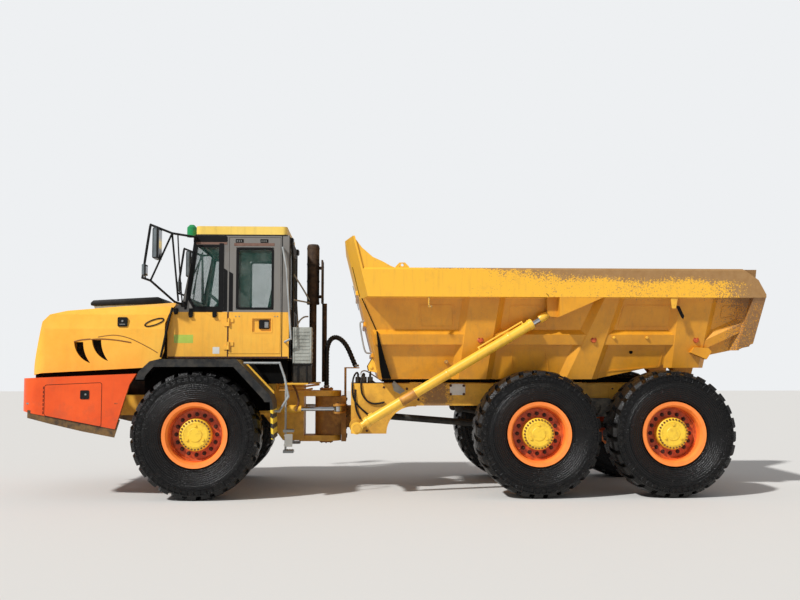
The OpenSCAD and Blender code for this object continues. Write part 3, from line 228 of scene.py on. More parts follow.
# Vulcanised natural rubber: almost black, wet gloss on the walls, dust in the tread
def tyreRubber(name, centreX):
    look = {"black": "060607", "dust": "2c2823", "scuff": "55524c", "gloss": 0.22,
            "shine": 0.32}
    mat, tree, coords = newMaterial(name)
    radius = wheelRadius(tree, coords, centreX)
    # dust in clouds of 125 mm, more of it on the tread; scuffs of 12 mm
    dust = addNode(tree, "TexNoise", {"Scale": 8, "Detail": 7, "Roughness": 0.7},
                   {"Vector": coords})
    tread = addNode(tree, "MapRange", {1: 0.66, 2: 0.79, 4: 0.16}, {0: radius})
    dust = addNode(tree, "Math", {"operation": "ADD"}, {0: dust, 1: tread})
    dust = addNode(tree, "MapRange", {1: 0.52, 2: 0.86, 4: 0.5}, {0: dust})
    base = addNode(tree, "Mix", {"data_type": "RGBA", 6: toLinear(look["black"]),
                                 7: toLinear(look["dust"])}, {0: dust})
    scuff = addNode(tree, "TexNoise", {"Scale": 80, "Detail": 5, "Roughness": 0.8},
                    {"Vector": coords})
    scuff = addNode(tree, "MapRange", {1: 0.68, 2: 0.74, 4: 0.5}, {0: scuff})
    base = addNode(tree, "Mix", {"data_type": "RGBA", 7: toLinear(look["scuff"])},
                   {0: scuff, 6: base})
    rough = addNode(tree, "Math", {"operation": "MULTIPLY_ADD", 1: 0.7, 2: look["gloss"]},
                    {0: dust})
    # moulded rings 24 mm apart on the wall, and the 11 mm grain of worn rubber
    turns = addNode(tree, "Math", {"operation": "MULTIPLY", 1: 2 * math.pi / 0.024},
                    {0: radius})
    rings = addNode(tree, "Math", {"operation": "SINE"}, {0: turns})
    inner = addNode(tree, "MapRange", {1: 0.63, 2: 0.6, 4: 0.4}, {0: radius})  # not on the lugs
    rings = addNode(tree, "Math", {"operation": "MULTIPLY"}, {0: rings, 1: inner})
    grain = addNode(tree, "TexNoise", {"Scale": 90, "Detail": 4}, {"Vector": coords})
    height = addNode(tree, "Math", {"operation": "ADD"}, {0: rings, 1: grain})
    bump = addNode(tree, "Bump", {"Strength": 0.8, "Distance": 0.009}, {"Height": height})
    closeMaterial(tree, {"Specular IOR Level": look["shine"]},
                  {"Base Color": base, "Roughness": rough, "Normal": bump})
    return mat


# Enamelled steel wheel: orange flange, a darker redder well painted as the shade of the recess,
# yellow hub cover
def wheelEnamel(name, centreX):
    look = {"flange": ("fd8c3c", "ee7a32"), "well": ("dc6228", "a5401f"),
            "cover": ("f2c838", "c99a30"), "chip": "54332a"}
    mat, tree, coords = newMaterial(name)
    radius = wheelRadius(tree, coords, centreX)
    # paint clouded over 70 mm, chips of 22 mm
    cloud = addNode(tree, "TexNoise", {"Scale": 14, "Detail": 6, "Roughness": 0.7},
                    {"Vector": coords})
    paints = {}
    for key, start, end in (("flange", 0.45, 0.8), ("well", 0.38, 0.64), ("cover", 0.5, 0.8)):
        amount = addNode(tree, "MapRange", {1: start, 2: end}, {0: cloud})
        paints[key] = addNode(tree, "Mix", {
            "data_type": "RGBA", 6: toLinear(look[key][0]), 7: toLinear(look[key][1])},
            {0: amount})
    # the well ends at 326 mm from the axle's line, the hub cover at 196 mm
    step = addNode(tree, "MapRange", {1: 0.322, 2: 0.33}, {0: radius})
    base = addNode(tree, "Mix", {"data_type": "RGBA"},
                   {0: step, 6: paints["well"], 7: paints["flange"]})
    step = addNode(tree, "MapRange", {1: 0.1965, 2: 0.1955}, {0: radius})
    base = addNode(tree, "Mix", {"data_type": "RGBA"}, {0: step, 6: base, 7: paints["cover"]})
    chips = addNode(tree, "TexNoise", {"Scale": 45, "Detail": 6, "Roughness": 0.8},
                    {"Vector": coords})
    chips = addNode(tree, "MapRange", {1: 0.69, 2: 0.72, 4: 0.85}, {0: chips})
    base = addNode(tree, "Mix", {"data_type": "RGBA", 7: toLinear(look["chip"])},
                   {0: chips, 6: base})
    rough = addNode(tree, "Math", {"operation": "MULTIPLY_ADD", 1: 0.2, 2: 0.34}, {0: cloud})
    bump = addNode(tree, "Bump", {"Strength": 0.3, "Distance": 0.003}, {"Height": cloud})
    closeMaterial(tree, {}, {"Base Color": base, "Roughness": rough, "Normal": bump})
    return mat


# Clear or dyed glass and lens plastic: sharp reflections, a thin film of dust
def clearPane(name, look):
    look = {"film": "9fa8a2", "alpha": 0.3, "gloss": 0.03, "dust": 0.1, "ior": 1.5, **look}
    mat, tree, coords = newMaterial(name)
    # film in patches of 250 mm
    film = addNode(tree, "TexNoise", {"Scale": 4, "Detail": 5, "Roughness": 0.7},
                   {"Vector": coords})
    amount = addNode(tree, "MapRange", {1: 0.45, 2: 0.8, 4: 0.6}, {0: film})
    base = addNode(tree, "Mix", {"data_type": "RGBA", 6: toLinear(look["colour"]),
                                 7: toLinear(look["film"])}, {0: amount})
    alpha = addNode(tree, "MapRange", {1: 0.45, 2: 0.85, 3: look["alpha"],
                                       4: look["alpha"] + look["dust"]}, {0: film})
    closeMaterial(tree, {"Roughness": look["gloss"], "IOR": look["ior"]},
                  {"Base Color": base, "Alpha": alpha})
    return mat


# paint of the bin: a brighter yellow on the rails over walls darkened as painted shade, worn where
# the load rubs
binPaint = {
    "colour": "e39d24", "faded": "d08b1e", "gloss": 0.42, "grimeAmount": 0.25,
    "grimeTop": 1.7, "chips": 0.02, "edge": 0.3, "zone": (2.4665, "f6b834"),
    "worn": [
        {"ramps": [(0, 1.0, 2.6, 0.9), (2, 2.64, 2.80, 0.14)], "amount": 0.46},
        {"ramps": [(0, 0.4, 2.6, 1.6), (2, 2.40, 2.47, 0.0)], "amount": 0.12},
        {"ramps": [(0, 3.9, 4.42, 0.3)], "amount": 0.3},
        {"ramps": [(0, -0.6, 0.6, 0.8), (2, 2.80, 2.828, 0.02)], "amount": 0.26},
    ],
}
cabPaint = {
    "colour": "fabd47", "faded": "f4b03c", "gloss": 0.3, "grimeAmount": 0.22,
    "grimeTop": 1.9, "edge": 0.15,
}
# yellow and black bands on the flap at the fender's rear edge
flapBands = {
    "behind": frontAxle + 0.908, "below": 1.085, "apart": 0.12, "width": 0.066,
    "slant": 0.6, "colour": "efca3a",
}
mats = {
    # two coats of enamel, sprayed: clear gloss over a warm yellow
    "cabYellow": sprayedEnamel("sprayed_enamel_yellow", cabPaint),
    # the same enamel, grey above the door's waist
    "doorYellow": sprayedEnamel("sprayed_enamel_two_tone", {
        **cabPaint, "zone": (2.3, "7d7a75")}),
    # enamel bleached by the sun: paler and flatter
    "roofYellow": sprayedEnamel("sprayed_enamel_faded", {
        "colour": "f6d36c", "faded": "ecc658", "gloss": 0.42, "edge": 0.1}),
    # pigmented gel coat on a moulded hood: the cleanest and glossiest yellow
    "hoodYellow": sprayedEnamel("gel_coat_yellow", {
        "colour": "fbbf49", "faded": "f6b13b", "gloss": 0.22, "grimeAmount": 0.15,
        "grimeTop": 1.6, "edge": 0.0, "streaks": 0.1}),
    # enamel that loads have worn, rubbed through below the rails; the walls' orange yellow is
    # darker than the rails as painted shade
    "binYellow": sprayedEnamel("worn_enamel_with_painted_shade", binPaint),
    # inside of the bin: paint left only in patches, the rest rubbed to brown steel
    "binFloor": sprayedEnamel("abraded_enamel_yellow", {
        **binPaint, "zone": None, "chips": 0.14, "worn": []}),
    # chassis enamel under road dirt: brown where the splashes stuck
    "frameYellow": sprayedEnamel("grimy_enamel_yellow", {
        "colour": "f3bb3c", "faded": "e2a636", "gloss": 0.42, "grimeAmount": 0.5,
        "grime": "8a5a26", "grimeTop": 1.5, "chips": 0.05, "edge": 0.3, "worn": [
            {"ramps": [(0, 0.2, 0.42, 0.2), (0, 0.85, 0.62, 0.2)], "amount": 0.3}]}),
    # enamel soaked in grease: brown and half matt
    "hitchYellow": sprayedEnamel("greasy_enamel_brown", {
        "colour": "dd9c36", "faded": "b87a2e", "gloss": 0.45, "grime": "5f3f22",
        "grimeAmount": 0.7, "grimeTop": 1.7, "chips": 0.08, "edge": 0.3}),
    # newer enamel on the hoist: bright, hardly chipped
    "barrelYellow": sprayedEnamel("hoist_enamel_yellow", {
        "colour": "f9c743", "faded": "eeb336", "gloss": 0.32, "grimeAmount": 0.2,
        "chips": 0.02, "edge": 0.2}),
    # orange enamel, sprayed later than the yellow: even and glossy
    "skirtOrange": sprayedEnamel("sprayed_enamel_orange", {
        "colour": "ee5a1c", "faded": "e04d14", "gloss": 0.28, "grimeAmount": 0.35,
        "grimeTop": 1.25, "grime": "7c4a35", "edge": 0.2, "streaks": 0.1}),
    # grey enamel round the windows: flat and unmarked
    "frameGrey": sprayedEnamel("cab_enamel_grey", {
        "colour": "7d7a75", "faded": "716e6a", "gloss": 0.42, "edge": 0.15}),
    # polypropylene, moulded with a fine grain: dull black, dust on top
    "fenderBlack": plainFinish("moulded_polymer_black", {
        "colour": "1b1c1d", "second": "27292a", "gloss": 0.4, "grain": 5, "bump": 0.25,
        "shine": 0.35, "dust": 0.3, "bands": flapBands}),
    # ABS, moulded smooth: deep black with a soft sheen
    "trimBlack": plainFinish("moulded_polymer_satin", {
        "colour": "0c0c0d", "second": "151617", "gloss": 0.42, "dust": 0.05, "shine": 0.25}),
    # flat black with no reflections: painted shade, so that gaps, slots and holes read as dark
    "shadowBlack": plainFinish("painted_shade_black", {
        "colour": "080808", "second": "100f0e", "gloss": 0.9, "grain": 8, "bump": 0.4,
        "shine": 0.1}),
    # EPDM, extruded: black, rubbed dull; the same black also paints shade and shadows in strips by
    # the hood's rear edge and the rail hooks
    "sealRubberAndShade": plainFinish("extruded_rubber_and_painted_shade", {
        "colour": "09090a", "second": "101011", "gloss": 0.55, "grain": 3, "shine": 0.2}),
    # cast iron under thin paint: a sandy skin and oily dust
    "castGrey": plainFinish("sand_cast_iron", {
        "colour": "2c2b29", "second": "1c1a18", "gloss": 0.62, "grain": 6, "bump": 0.5,
        "shine": 0.3, "dust": 0.3}),
    # forging under black paint: a coarse skin with dust on top
    "castBlack": plainFinish("painted_forging_black", {
        "colour": "131414", "second": "24211d", "gloss": 0.55, "grain": 6, "bump": 0.4,
        "shine": 0.25, "dust": 0.3}),
    # nitrile hose, wrapped and cured in cloth: dull black with a fine weave
    "hoseRubber": plainFinish("wrapped_hose_rubber", {
        "colour": "0b0b0c", "second": "141313", "gloss": 0.45, "grain": 3, "dust": 0.1,
        "shine": 0.3}),
    # drawn steel tube, painted pale grey: smooth, half gloss
    "tubeGrey": plainFinish("painted_tube_grey", {
        "colour": "a9adac", "second": "8b8f90", "gloss": 0.38, "grain": 3, "bump": 0.1}),
    # folded sheet steel, painted: pale grey, stained in patches
    "sheetGrey": plainFinish("painted_sheet_light", {
        "colour": "a9aca4", "second": "85877f", "gloss": 0.5, "size": 120, "dust": 0.2}),
    # hard chrome, ground round: bright, a little blurred along the stroke
    "chromeRod": plainFinish("hard_chrome_ground", {
        "colour": "c9cccf", "second": "b4b8bb", "metal": 1.0, "gloss": 0.14, "grain": 2,
        "bump": 0.03}),
    # steel, zinc plated: pale grey metal that blurs what it mirrors
    "zincSteel": plainFinish("zinc_plated_steel", {
        "colour": "b0b2b0", "second": "8d8c86", "metal": 0.9, "gloss": 0.38, "size": 60,
        "grain": 3}),
    # steel, phosphated: dark brown, rust coming through
    "nutSteel": plainFinish("phosphated_steel", {
        "colour": "3a2b26", "second": "5e3426", "metal": 0.4, "gloss": 0.6, "size": 40}),
    # mild steel, scaled by heat: rough and brown
    "rustSteel": plainFinish("heat_rusted_steel", {
        "colour": "54402f", "second": "2c211a", "metal": 0.3, "gloss": 0.7, "size": 80,
        "grain": 5, "bump": 0.5}),
    # polyester, woven: dark grey without a shine
    "seatCloth": plainFinish("woven_seat_cloth", {
        "colour": "33363b", "second": "26292d", "gloss": 0.85, "grain": 3, "bump": 0.4}),
    # laminated glass with a green tint: dark, with sharp reflections
    "cabGlass": clearPane("tinted_safety_glass", {"colour": "2c5a50", "alpha": 0.24}),
    # polycarbonate, moulded clear: whitish with a thin gloss
    "lampGlass": clearPane("moulded_lamp_lens", {
        "colour": "dfe4e6", "alpha": 0.6, "gloss": 0.06}),
    # acrylic lenses, dyed through and moulded: deep colour under gloss
    "lensRed": clearPane("moulded_lens_red", {
        "colour": "b3201a", "film": "8c2a20", "alpha": 0.95, "gloss": 0.12}),
    "lensAmber": clearPane("moulded_lens_amber", {
        "colour": "e8881c", "film": "b97a2a", "alpha": 0.95, "gloss": 0.12}),
    "beaconGreen": clearPane("moulded_lens_green", {
        "colour": "1c8f50", "film": "3f9a66", "alpha": 0.9, "gloss": 0.14}),
    # acrylic reflector, moulded: red gone orange in the sun
    "markerRed": plainFinish("moulded_reflector_red", {
        "colour": "cc5a2c", "second": "94421f", "gloss": 0.35, "size": 30}),
    # steel bolts under oil: brown with a greasy sheen
    "boltBrown": plainFinish("oiled_bolt_brown", {
        "colour": "7d4f22", "second": "4a2d18", "gloss": 0.5, "size": 30}),
    # vinyl film, laid on: faded brown, flat
    "stripBrown": plainFinish("faded_vinyl_brown", {
        "colour": "7b5c4e", "second": "6a4b3e", "gloss": 0.6, "size": 60}),
    # ABS, moulded grey: smooth, half gloss
    "shellGrey": plainFinish("moulded_shell_grey", {
        "colour": "6d7578", "second": "596063", "gloss": 0.3, "size": 80}),
    # steel plate rusting under old paint: blotched olive brown
    "bevelOlive": plainFinish("rusted_bevel_olive", {
        "colour": "75562a", "second": "41301e", "gloss": 0.6, "size": 70, "bump": 0.4}),
    # gel coat in the shade of a step: a thin brown line
    "grooveBrown": plainFinish("shaded_groove_brown", {
        "colour": "8f5d1e", "second": "7a4c18", "gloss": 0.6}),
    # vinyl film, blank: clean white, half gloss
    "plateWhite": plainFinish("blank_vinyl_white", {
        "colour": "e6e6e0", "second": "d3d3cc", "gloss": 0.35}),
    # the same film in light green
    "plateGreen": plainFinish("blank_vinyl_green", {
        "colour": "b9cf5a", "second": "a9c24c", "gloss": 0.35}),
    # glass, silvered behind: mirrors ground and sky, a little blurred
    "mirrorFace": plainFinish("silvered_mirror", {
        "colour": "dfe3e6", "metal": 1.0, "gloss": 0.1, "bump": 0.0}),
}
for key, x in axleX.items():
    mats["tyre" + key] = tyreRubber("vulcanised_rubber_" + key, x + frontAxle)
    mats["rim" + key] = wheelEnamel("wheel_enamel_" + key, x + frontAxle)

cadFinish = {
    "front_frame": "frameYellow", "rear_deck": "frameYellow", "tow_lugs": "frameYellow",
    "engine_block": "castGrey", "front_skirt": "skirtOrange", "headlamps": "lampGlass",
    "fenders": "fenderBlack", "battery_box": "castBlack", "cab_tub": "cabYellow",
    "cab_frame": "frameGrey", "cab_roof": "roofYellow", "cab_glass": "cabGlass",
    "driver_seat": "seatCloth", "dash_console": "trimBlack", "mirrors": "trimBlack",
    "beacon": "beaconGreen", "steps_rails": "tubeGrey", "exhaust_stack": "rustSteel",
    "louvred_box": "sheetGrey", "front_axle": "castGrey", "hood": "hoodYellow",
    "hood_top": "trimBlack", "hood_grille": "trimBlack", "cab_door": "doorYellow",
    "door_glass": "cabGlass", "hitch": "hitchYellow", "hitch_hose": "hoseRubber",
    "steer_barrel_left": "frameYellow", "steer_barrel_right": "frameYellow",
    "steer_rod_left": "chromeRod", "steer_rod_right": "chromeRod",
    "rear_frame": "frameYellow", "walking_beams": "castBlack", "rear_axles": "castGrey",
    "driveshafts": "castGrey", "bin_floor": "binFloor", "bin_side_left": "binYellow",
    "bin_side_right": "binYellow", "bin_ribs_left": "binYellow",
    "bin_ribs_right": "binYellow", "lift_eyes": "binYellow", "bin_headboard": "binYellow",
    "hoist_barrels": "barrelYellow", "hoist_rods": "chromeRod",
}
for key in axleX:
    for hand in ("left", "right"):
        cadFinish[f"tyre_{key}_{hand}"] = "tyre" + key
        cadFinish[f"rim_{key}_{hand}"] = "rim" + key
for name, key in cadFinish.items():
    for slot in nodes[name].material_slots:
        slot.material = mats[key]
print("materials done")


# Makes an object of a shape drawn in metres from the front axle. A place is a matrix
# that puts the shape where it belongs; a pair is also mirrored to the other side.
def finishPiece(name, bm, material, body, place=None, pair=False):
    if place:
        bmesh.ops.transform(bm, matrix=place, verts=bm.verts)
    if pair:
        bothSides(bm)
    bmesh.ops.remove_doubles(bm, verts=bm.verts, dist=1e-6)
    bmesh.ops.recalc_face_normals(bm, faces=bm.faces)
    bmesh.ops.translate(bm, verts=bm.verts, vec=(frontAxle, 0, 0))
    mesh = bpy.data.meshes.new(name)
    bm.to_mesh(mesh)
    bm.free()
    mesh.shade_smooth()
    mesh.set_sharp_from_angle(angle=math.radians(32))
    mesh.materials.append(mats[material])
    made = bpy.data.objects.new(name, mesh)
    scene.collection.objects.link(made)
    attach(made, body)
    return made


# Bar from a to b, tapered if it has a tip radius
def roundBar(bm, a, b, radius, sides=14, tip=None, chamfer=0.0):
    a, b = Vector(a), Vector(b)
    place = Matrix.Translation((a + b) / 2) @ (b - a).to_track_quat("Z", "Y").to_matrix().to_4x4()
    made = bmesh.ops.create_cone(
        bm, cap_ends=True, segments=sides, radius1=radius,
        radius2=radius if tip is None else tip, depth=(b - a).length, matrix=place)["verts"]
    if chamfer:
        rims = {e for v in made for e in v.link_edges if e.calc_face_angle(0) > 1.0}
        bmesh.ops.bevel(bm, geom=list(rims), offset=chamfer, offset_type="OFFSET",
                        affect="EDGES", segments=2, profile=0.5, material=-1)


def weldedBlock(bm, low, high, edge=0.004):
    low, high = Vector(low), Vector(high)
    size = high - low
    place = Matrix.Translation((low + high) / 2) @ Matrix.Diagonal((*size, 1))
    made = bmesh.ops.create_cube(bm, size=1, matrix=place)["verts"]
    rims = {e for v in made for e in v.link_edges}
    bmesh.ops.bevel(bm, geom=list(rims), offset=min(edge, min(size) * 0.3),
                    offset_type="OFFSET", affect="EDGES", segments=1, profile=0.5, material=-1)


# Plate between two Y planes from an outline of (x, z) points, its corners rounded;
# with a width it is only a frame of that width inside the outline
def cutPlate(bm, outline, y0, y1, corner=0.0, width=0.0):
    before = set(bm.faces)
    face = bm.faces.new([bm.verts.new((x, y0, z)) for x, z in outline])
    if corner:
        bmesh.ops.bevel(bm, geom=list(face.verts), offset=corner, offset_type="OFFSET",
                        affect="VERTICES", segments=4, profile=0.5, material=-1)
    made = [f for f in bm.faces if f not in before]
    if width:
        ring = bmesh.ops.inset_region(bm, faces=made, thickness=width,
                                      use_even_offset=True, use_boundary=True)["faces"]
        bmesh.ops.delete(bm, geom=[f for f in made if f.is_valid and f not in ring],
                         context="FACES")
        made = ring
    raised = bmesh.ops.extrude_face_region(bm, geom=made)["geom"]
    bmesh.ops.translate(bm, verts=[v for v in raised if isinstance(v, bmesh.types.BMVert)],
                        vec=(0, y1 - y0, 0))


# Outline of an upright rectangle
def oblong(x0, z0, x1, z1):
    return [(x0, z0), (x1, z0), (x1, z1), (x0, z1)]


# Hexagon head on a round washer
def hexBolt(bm, place, outward, size):
    place, outward = Vector(place), Vector(outward)
    roundBar(bm, place - outward * size * 0.3, place + outward * size * 0.18, size * 1.3, 10)
    roundBar(bm, place, place + outward * size * 0.85, size, 6)


# Bolts evenly round a centre, the angles counted from the direction across
def boltRing(bm, centre, outward, across, ring, count, size, start=0):
    centre, outward, across = Vector(centre), Vector(outward), Vector(across)
    for k in range(count):
        a = math.radians(start + 360 * k / count)
        away = across * math.cos(a) + outward.cross(across) * math.sin(a)
        hexBolt(bm, centre + away * ring, outward, size)


def bothSides(bm):
    copy = bmesh.ops.duplicate(bm, geom=bm.verts[:] + bm.edges[:] + bm.faces[:])["geom"]
    bmesh.ops.scale(bm, vec=(1, -1, 1),
                    verts=[v for v in copy if isinstance(v, bmesh.types.BMVert)])


# Repeats the whole shape about Z
def aroundAxle(bm, count):
    bmesh.ops.spin(bm, geom=bm.verts[:] + bm.edges[:] + bm.faces[:], cent=(0, 0, 0),
                   axis=(0, 0, 1), angle=2 * math.pi * (count - 1) / count,
                   steps=count - 1, use_duplicate=True)


# Ring turned about Z from a closed profile of (radius, z) points
def turnedRing(bm, profile, steps):
    verts = [bm.verts.new((r, 0, z)) for r, z in profile]
    edges = [bm.edges.new((a, b)) for a, b in zip(verts, verts[1:] + verts[:1])]
    bmesh.ops.spin(bm, geom=verts + edges, cent=(0, 0, 0), axis=(0, 0, 1),
                   angle=2 * math.pi, steps=steps, use_merge=True)


# Bent tubes and hoses as curves, each run a list of (x, y, z) points
def bentTubes(name, runs, radius, material, body, closed=False, pair=False):
    if pair:
        runs = runs + [[(x, -y, z) for x, y, z in run] for run in runs]
    curve = bpy.data.curves.new(name, "CURVE")
    curve.dimensions = "3D"
    curve.bevel_depth = radius
    curve.bevel_resolution = 3
    curve.resolution_u = 6
    curve.use_fill_caps = True
    for run in runs:
        spline = curve.splines.new("NURBS")
        spline.points.add(len(run) - 1)
        for point, (x, y, z) in zip(spline.points, run):
            point.co = (x + frontAxle, y, z, 1)
        spline.order_u = 3
        spline.use_endpoint_u = not closed
        spline.use_cyclic_u = closed
    curve.materials.append(mats[material])
    made = bpy.data.objects.new(name, curve)
    scene.collection.objects.link(made)
    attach(made, body)


# Wheels, drawn with the axle along Z and the outer face up
wheelLook = {
    "trackHalf": 1.17, "hubBolts": 28, "hubBoltRing": 0.176, "nuts": 16, "nutRing": 0.246,
    "valveAngle": 215, "wallRibs": 56, "wallBeads": [(0.418, 0.2465), (0.56, 0.2868)],
}
for key, x in axleX.items():
    for hand, s in (("left", -1), ("right", 1)):
        place = Matrix.Translation((x, s * wheelLook["trackHalf"], hubHeight)) \
            @ Matrix.Rotation(math.radians(-90 * s), 4, "X")
        body = f"wheel_{key}_{hand}"

        bm = bmesh.new()
        ring = wheelLook["hubBoltRing"]
        roundBar(bm, (ring, 0, 0.17), (ring, 0, 0.2035), 0.0115, 8)
        aroundAxle(bm, wheelLook["hubBolts"])
        finishPiece(f"hub_bolts_{key}_{hand}", bm, "boltBrown", body, place)

        bm = bmesh.new()
        turnedRing(bm, [(0.085, 0.19), (0.085, 0.203), (0.08, 0.207), (0.0, 0.207), (0.0, 0.19)],
                   32)
        turnedRing(bm, [(0.138, 0.196), (0.138, 0.2025), (0.146, 0.2025), (0.148, 0.196)], 48)
        boltRing(bm, (0, 0, 0.2), (0, 0, 1), (1, 0, 0), 0.112, 3, 0.017, 90)
        finishPiece(f"hub_cover_{key}_{hand}", bm, "rim" + key, body, place)

        bm = bmesh.new()
        ring = wheelLook["nutRing"]
        roundBar(bm, (ring, 0, 0.058), (ring, 0, 0.064), 0.026, 12)
        roundBar(bm, (ring, 0, 0.06), (ring, 0, 0.088), 0.019, 6)
        roundBar(bm, (ring, 0, 0.08), (ring, 0, 0.104), 0.01, 8)
        aroundAxle(bm, wheelLook["nuts"])
        finishPiece(f"wheel_nuts_{key}_{hand}", bm, "nutSteel", body, place)

        # lock ring in the flange, seat ring in the well, and the valve
        bm = bmesh.new()
        turnedRing(bm, [(0.334, 0.214), (0.3405, 0.2085), (0.3475, 0.214), (0.3455, 0.2285),
                        (0.3405, 0.2275)], 72)
        turnedRing(bm, [(0.305, 0.075), (0.311, 0.094), (0.3175, 0.098), (0.3305, 0.094),
                        (0.33, 0.07)], 64)
        a = math.radians(wheelLook["valveAngle"])
        roundBar(bm, (0.325 * math.cos(a), 0.325 * math.sin(a), 0.12),
                 (0.298 * math.cos(a), 0.298 * math.sin(a), 0.2), 0.007, 8)
        finishPiece(f"lock_ring_{key}_{hand}", bm, "rim" + key, body, place)

        # low ribs moulded on the wall beside the lugs, and two beads further in
        bm = bmesh.new()
        weldedBlock(bm, (0.652, -0.009, 0.27), (0.71, 0.009, 0.3005), 0.004)
        aroundAxle(bm, wheelLook["wallRibs"])
        for r, z in wheelLook["wallBeads"]:
            turnedRing(bm, [(r - 0.007, z - 0.006), (r - 0.003, z + 0.004),
                            (r + 0.003, z + 0.005), (r + 0.008, z - 0.004)], 96)
        finishPiece(f"wall_ribs_{key}_{hand}", bm, "tyre" + key, body, place)
print("wheels done")


# Hood: scoop lines, feature line, painted shade along the rear edge, cleaner, latches, handle
# rings
hoodLook = {
    "side": 0.94,
    "scoop": [
        [(-1.587, 1.918), (-1.53, 1.936), (-1.46, 1.946), (-1.385, 1.951)],
        [(-1.374, 1.945), (-1.27, 1.956), (-1.12, 1.945), (-1.0, 1.93), (-0.882, 1.908)]],
    "feature": [
        [(-1.292, 1.976), (-1.144, 2.005), (-1.008, 1.994), (-0.88, 1.955), (-0.77, 1.902),
         (-0.65, 1.84), (-0.55, 1.779)]],
    "handle": {"x": -0.6, "z": 2.163, "halfLength": 0.118, "halfHeight": 0.036, "climb": 0.32},
    "latch": (-0.992, 2.178),
}
for name, y, radius, lines in (
        ("hood_scoop_lines", -hoodLook["side"], 0.008, hoodLook["scoop"]),
        ("hood_feature_line", 0.001 - hoodLook["side"], 0.0055, hoodLook["feature"])):
    bentTubes(name, [[(x, y, z) for x, z in line] for line in lines], radius, "grooveBrown",
              "hood", pair=True)
# dark strips along the hood's rear edge: painted shade of the gap between the hood and the cab
bentTubes("hood_rear_gap_shade", [[
    (-0.512, -0.935, 1.725), (-0.475, -0.936, 1.9), (-0.44, -0.936, 2.08),
    (-0.408, -0.905, 2.26), (-0.39, -0.86, 2.35)]],
    0.015, "sealRubberAndShade", "hood", pair=True)
# thin lid over the hood's cleaner, with a grey seat below
bm = bmesh.new()
cutPlate(bm, [(-1.53, 2.405), (-1.535, 2.44), (-1.5, 2.475), (-0.66, 2.522), (-0.62, 2.5),
              (-0.6, 2.43)], -0.42, 0.42)
bmesh.ops.bevel(bm, geom=bm.edges[:], offset=0.01, offset_type="OFFSET", affect="EDGES",
                segments=2, profile=0.5, material=-1)
lid = finishPiece("cleaner_lid", bm, "trimBlack", "hood")
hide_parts("hood_top")
bm = bmesh.new()
cutPlate(bm, [(-1.47, 2.33), (-1.49, 2.4), (-0.62, 2.44), (-0.6, 2.38)], -0.405, 0.405)
cleanerSeat = finishPiece("cleaner_seat", bm, "sheetGrey", "hood")
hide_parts("hood_top")
bm = bmesh.new()
cutPlate(bm, oblong(-1.052, 2.107, -0.932, 2.226), -0.905, -0.951, 0.016)
finishPiece("hood_latches", bm, "trimBlack", "hood", pair=True)
bm = bmesh.new()
x, z = hoodLook["latch"]
roundBar(bm, (x, -0.95, z), (x, -0.9545, z), 0.013, 12)
cutPlate(bm, oblong(x - 0.035, z - 0.045, x + 0.035, z - 0.037), -0.95, -0.9525)
finishPiece("hood_latch_locks", bm, "zincSteel", "hood", pair=True)
handle = hoodLook["handle"]
ring = []
for k in range(14):
    a = 2 * math.pi * k / 14
    u, v = handle["halfLength"] * math.cos(a), handle["halfHeight"] * math.sin(a)
    z = handle["z"] + handle["climb"] * u + v
    # the hood's side leans in by 30 mm over 180 mm from 2.08 m up
    y = hoodLook["side"] - 0.03 * (z - 2.08) / 0.18 + 0.006
    ring.append((handle["x"] + u - 0.1 * v, -y, z))
bentTubes("hood_handle_rings", [ring], 0.008, "trimBlack", "hood",
          closed=True, pair=True)

# Flat black sheets that paint the shade seen through the slot between the hood and the skirt, and
# under the cab
bm = bmesh.new()
cutPlate(bm, [(-2.06, 1.43), (-0.62, 1.43), (-0.5, 1.6), (-0.5, 1.68), (-0.75, 1.64),
              (-1.93, 1.575), (-2.06, 1.55)], -0.872, -0.868)
bothSides(bm)
weldedBlock(bm, (-2.07, -0.868, 1.3), (-2.06, 0.868, 1.53), 0.002)
weldedBlock(bm, (-0.5, -0.835, 1.25), (-0.49, 0.835, 1.7), 0.002)
finishPiece("engine_bay_painted_shade", bm, "shadowBlack", "front_unit")
bm = bmesh.new()
cutPlate(bm, [(-0.72, 1.05), (0.88, 1.05), (0.88, 1.3), (0.6, 1.711), (-0.46, 1.711),
              (-0.72, 1.45)], -0.858, -0.852)
cutPlate(bm, oblong(0.6, 1.39, 1.06, 1.711), -0.7, -0.693)
bothSides(bm)
weldedBlock(bm, (-0.44, -0.83, 1.694), (1.07, 0.83, 1.711), 0.003)
finishPiece("cab_floor_painted_shade", bm, "shadowBlack", "front_unit")

# Front skirt: door groove and dashes, latches, locks, markers, grille, lamps, plate
skirtLook = {
    "skin": -1.249, "lampY": 0.9, "lampZ": 1.29, "dashes": 7, "dashApart": 0.05,
    "door": [(-1.842, 1.385), (-1.842, 1.01), (-1.15, 0.872), (-1.15, 1.415)],
    "grilleBars": (1.17, 1.225, 1.28, 1.335, 1.385), "grillePosts": (-0.515, -0.17, 0.17, 0.515),
}
skin = skirtLook["skin"]
bm = bmesh.new()
cutPlate(bm, skirtLook["door"], skin, -1.2512, 0.03, 0.006)
for k in range(skirtLook["dashes"]):
    z = 1.03 + k * skirtLook["dashApart"]
    weldedBlock(bm, (-1.856, -1.2525, z), (-1.848, skin, z + 0.034), 0.001)
finishPiece("skirt_door_groove", bm, "sealRubberAndShade", "front_unit", pair=True)
bm = bmesh.new()
cutPlate(bm, oblong(-1.41, 1.21, -1.302, 1.318), skin, -1.256, 0.014)
finishPiece("skirt_latches", bm, "trimBlack", "front_unit", pair=True)
bm = bmesh.new()
roundBar(bm, (-1.345, -1.255, 1.268), (-1.345, -1.259, 1.268), 0.012, 12)
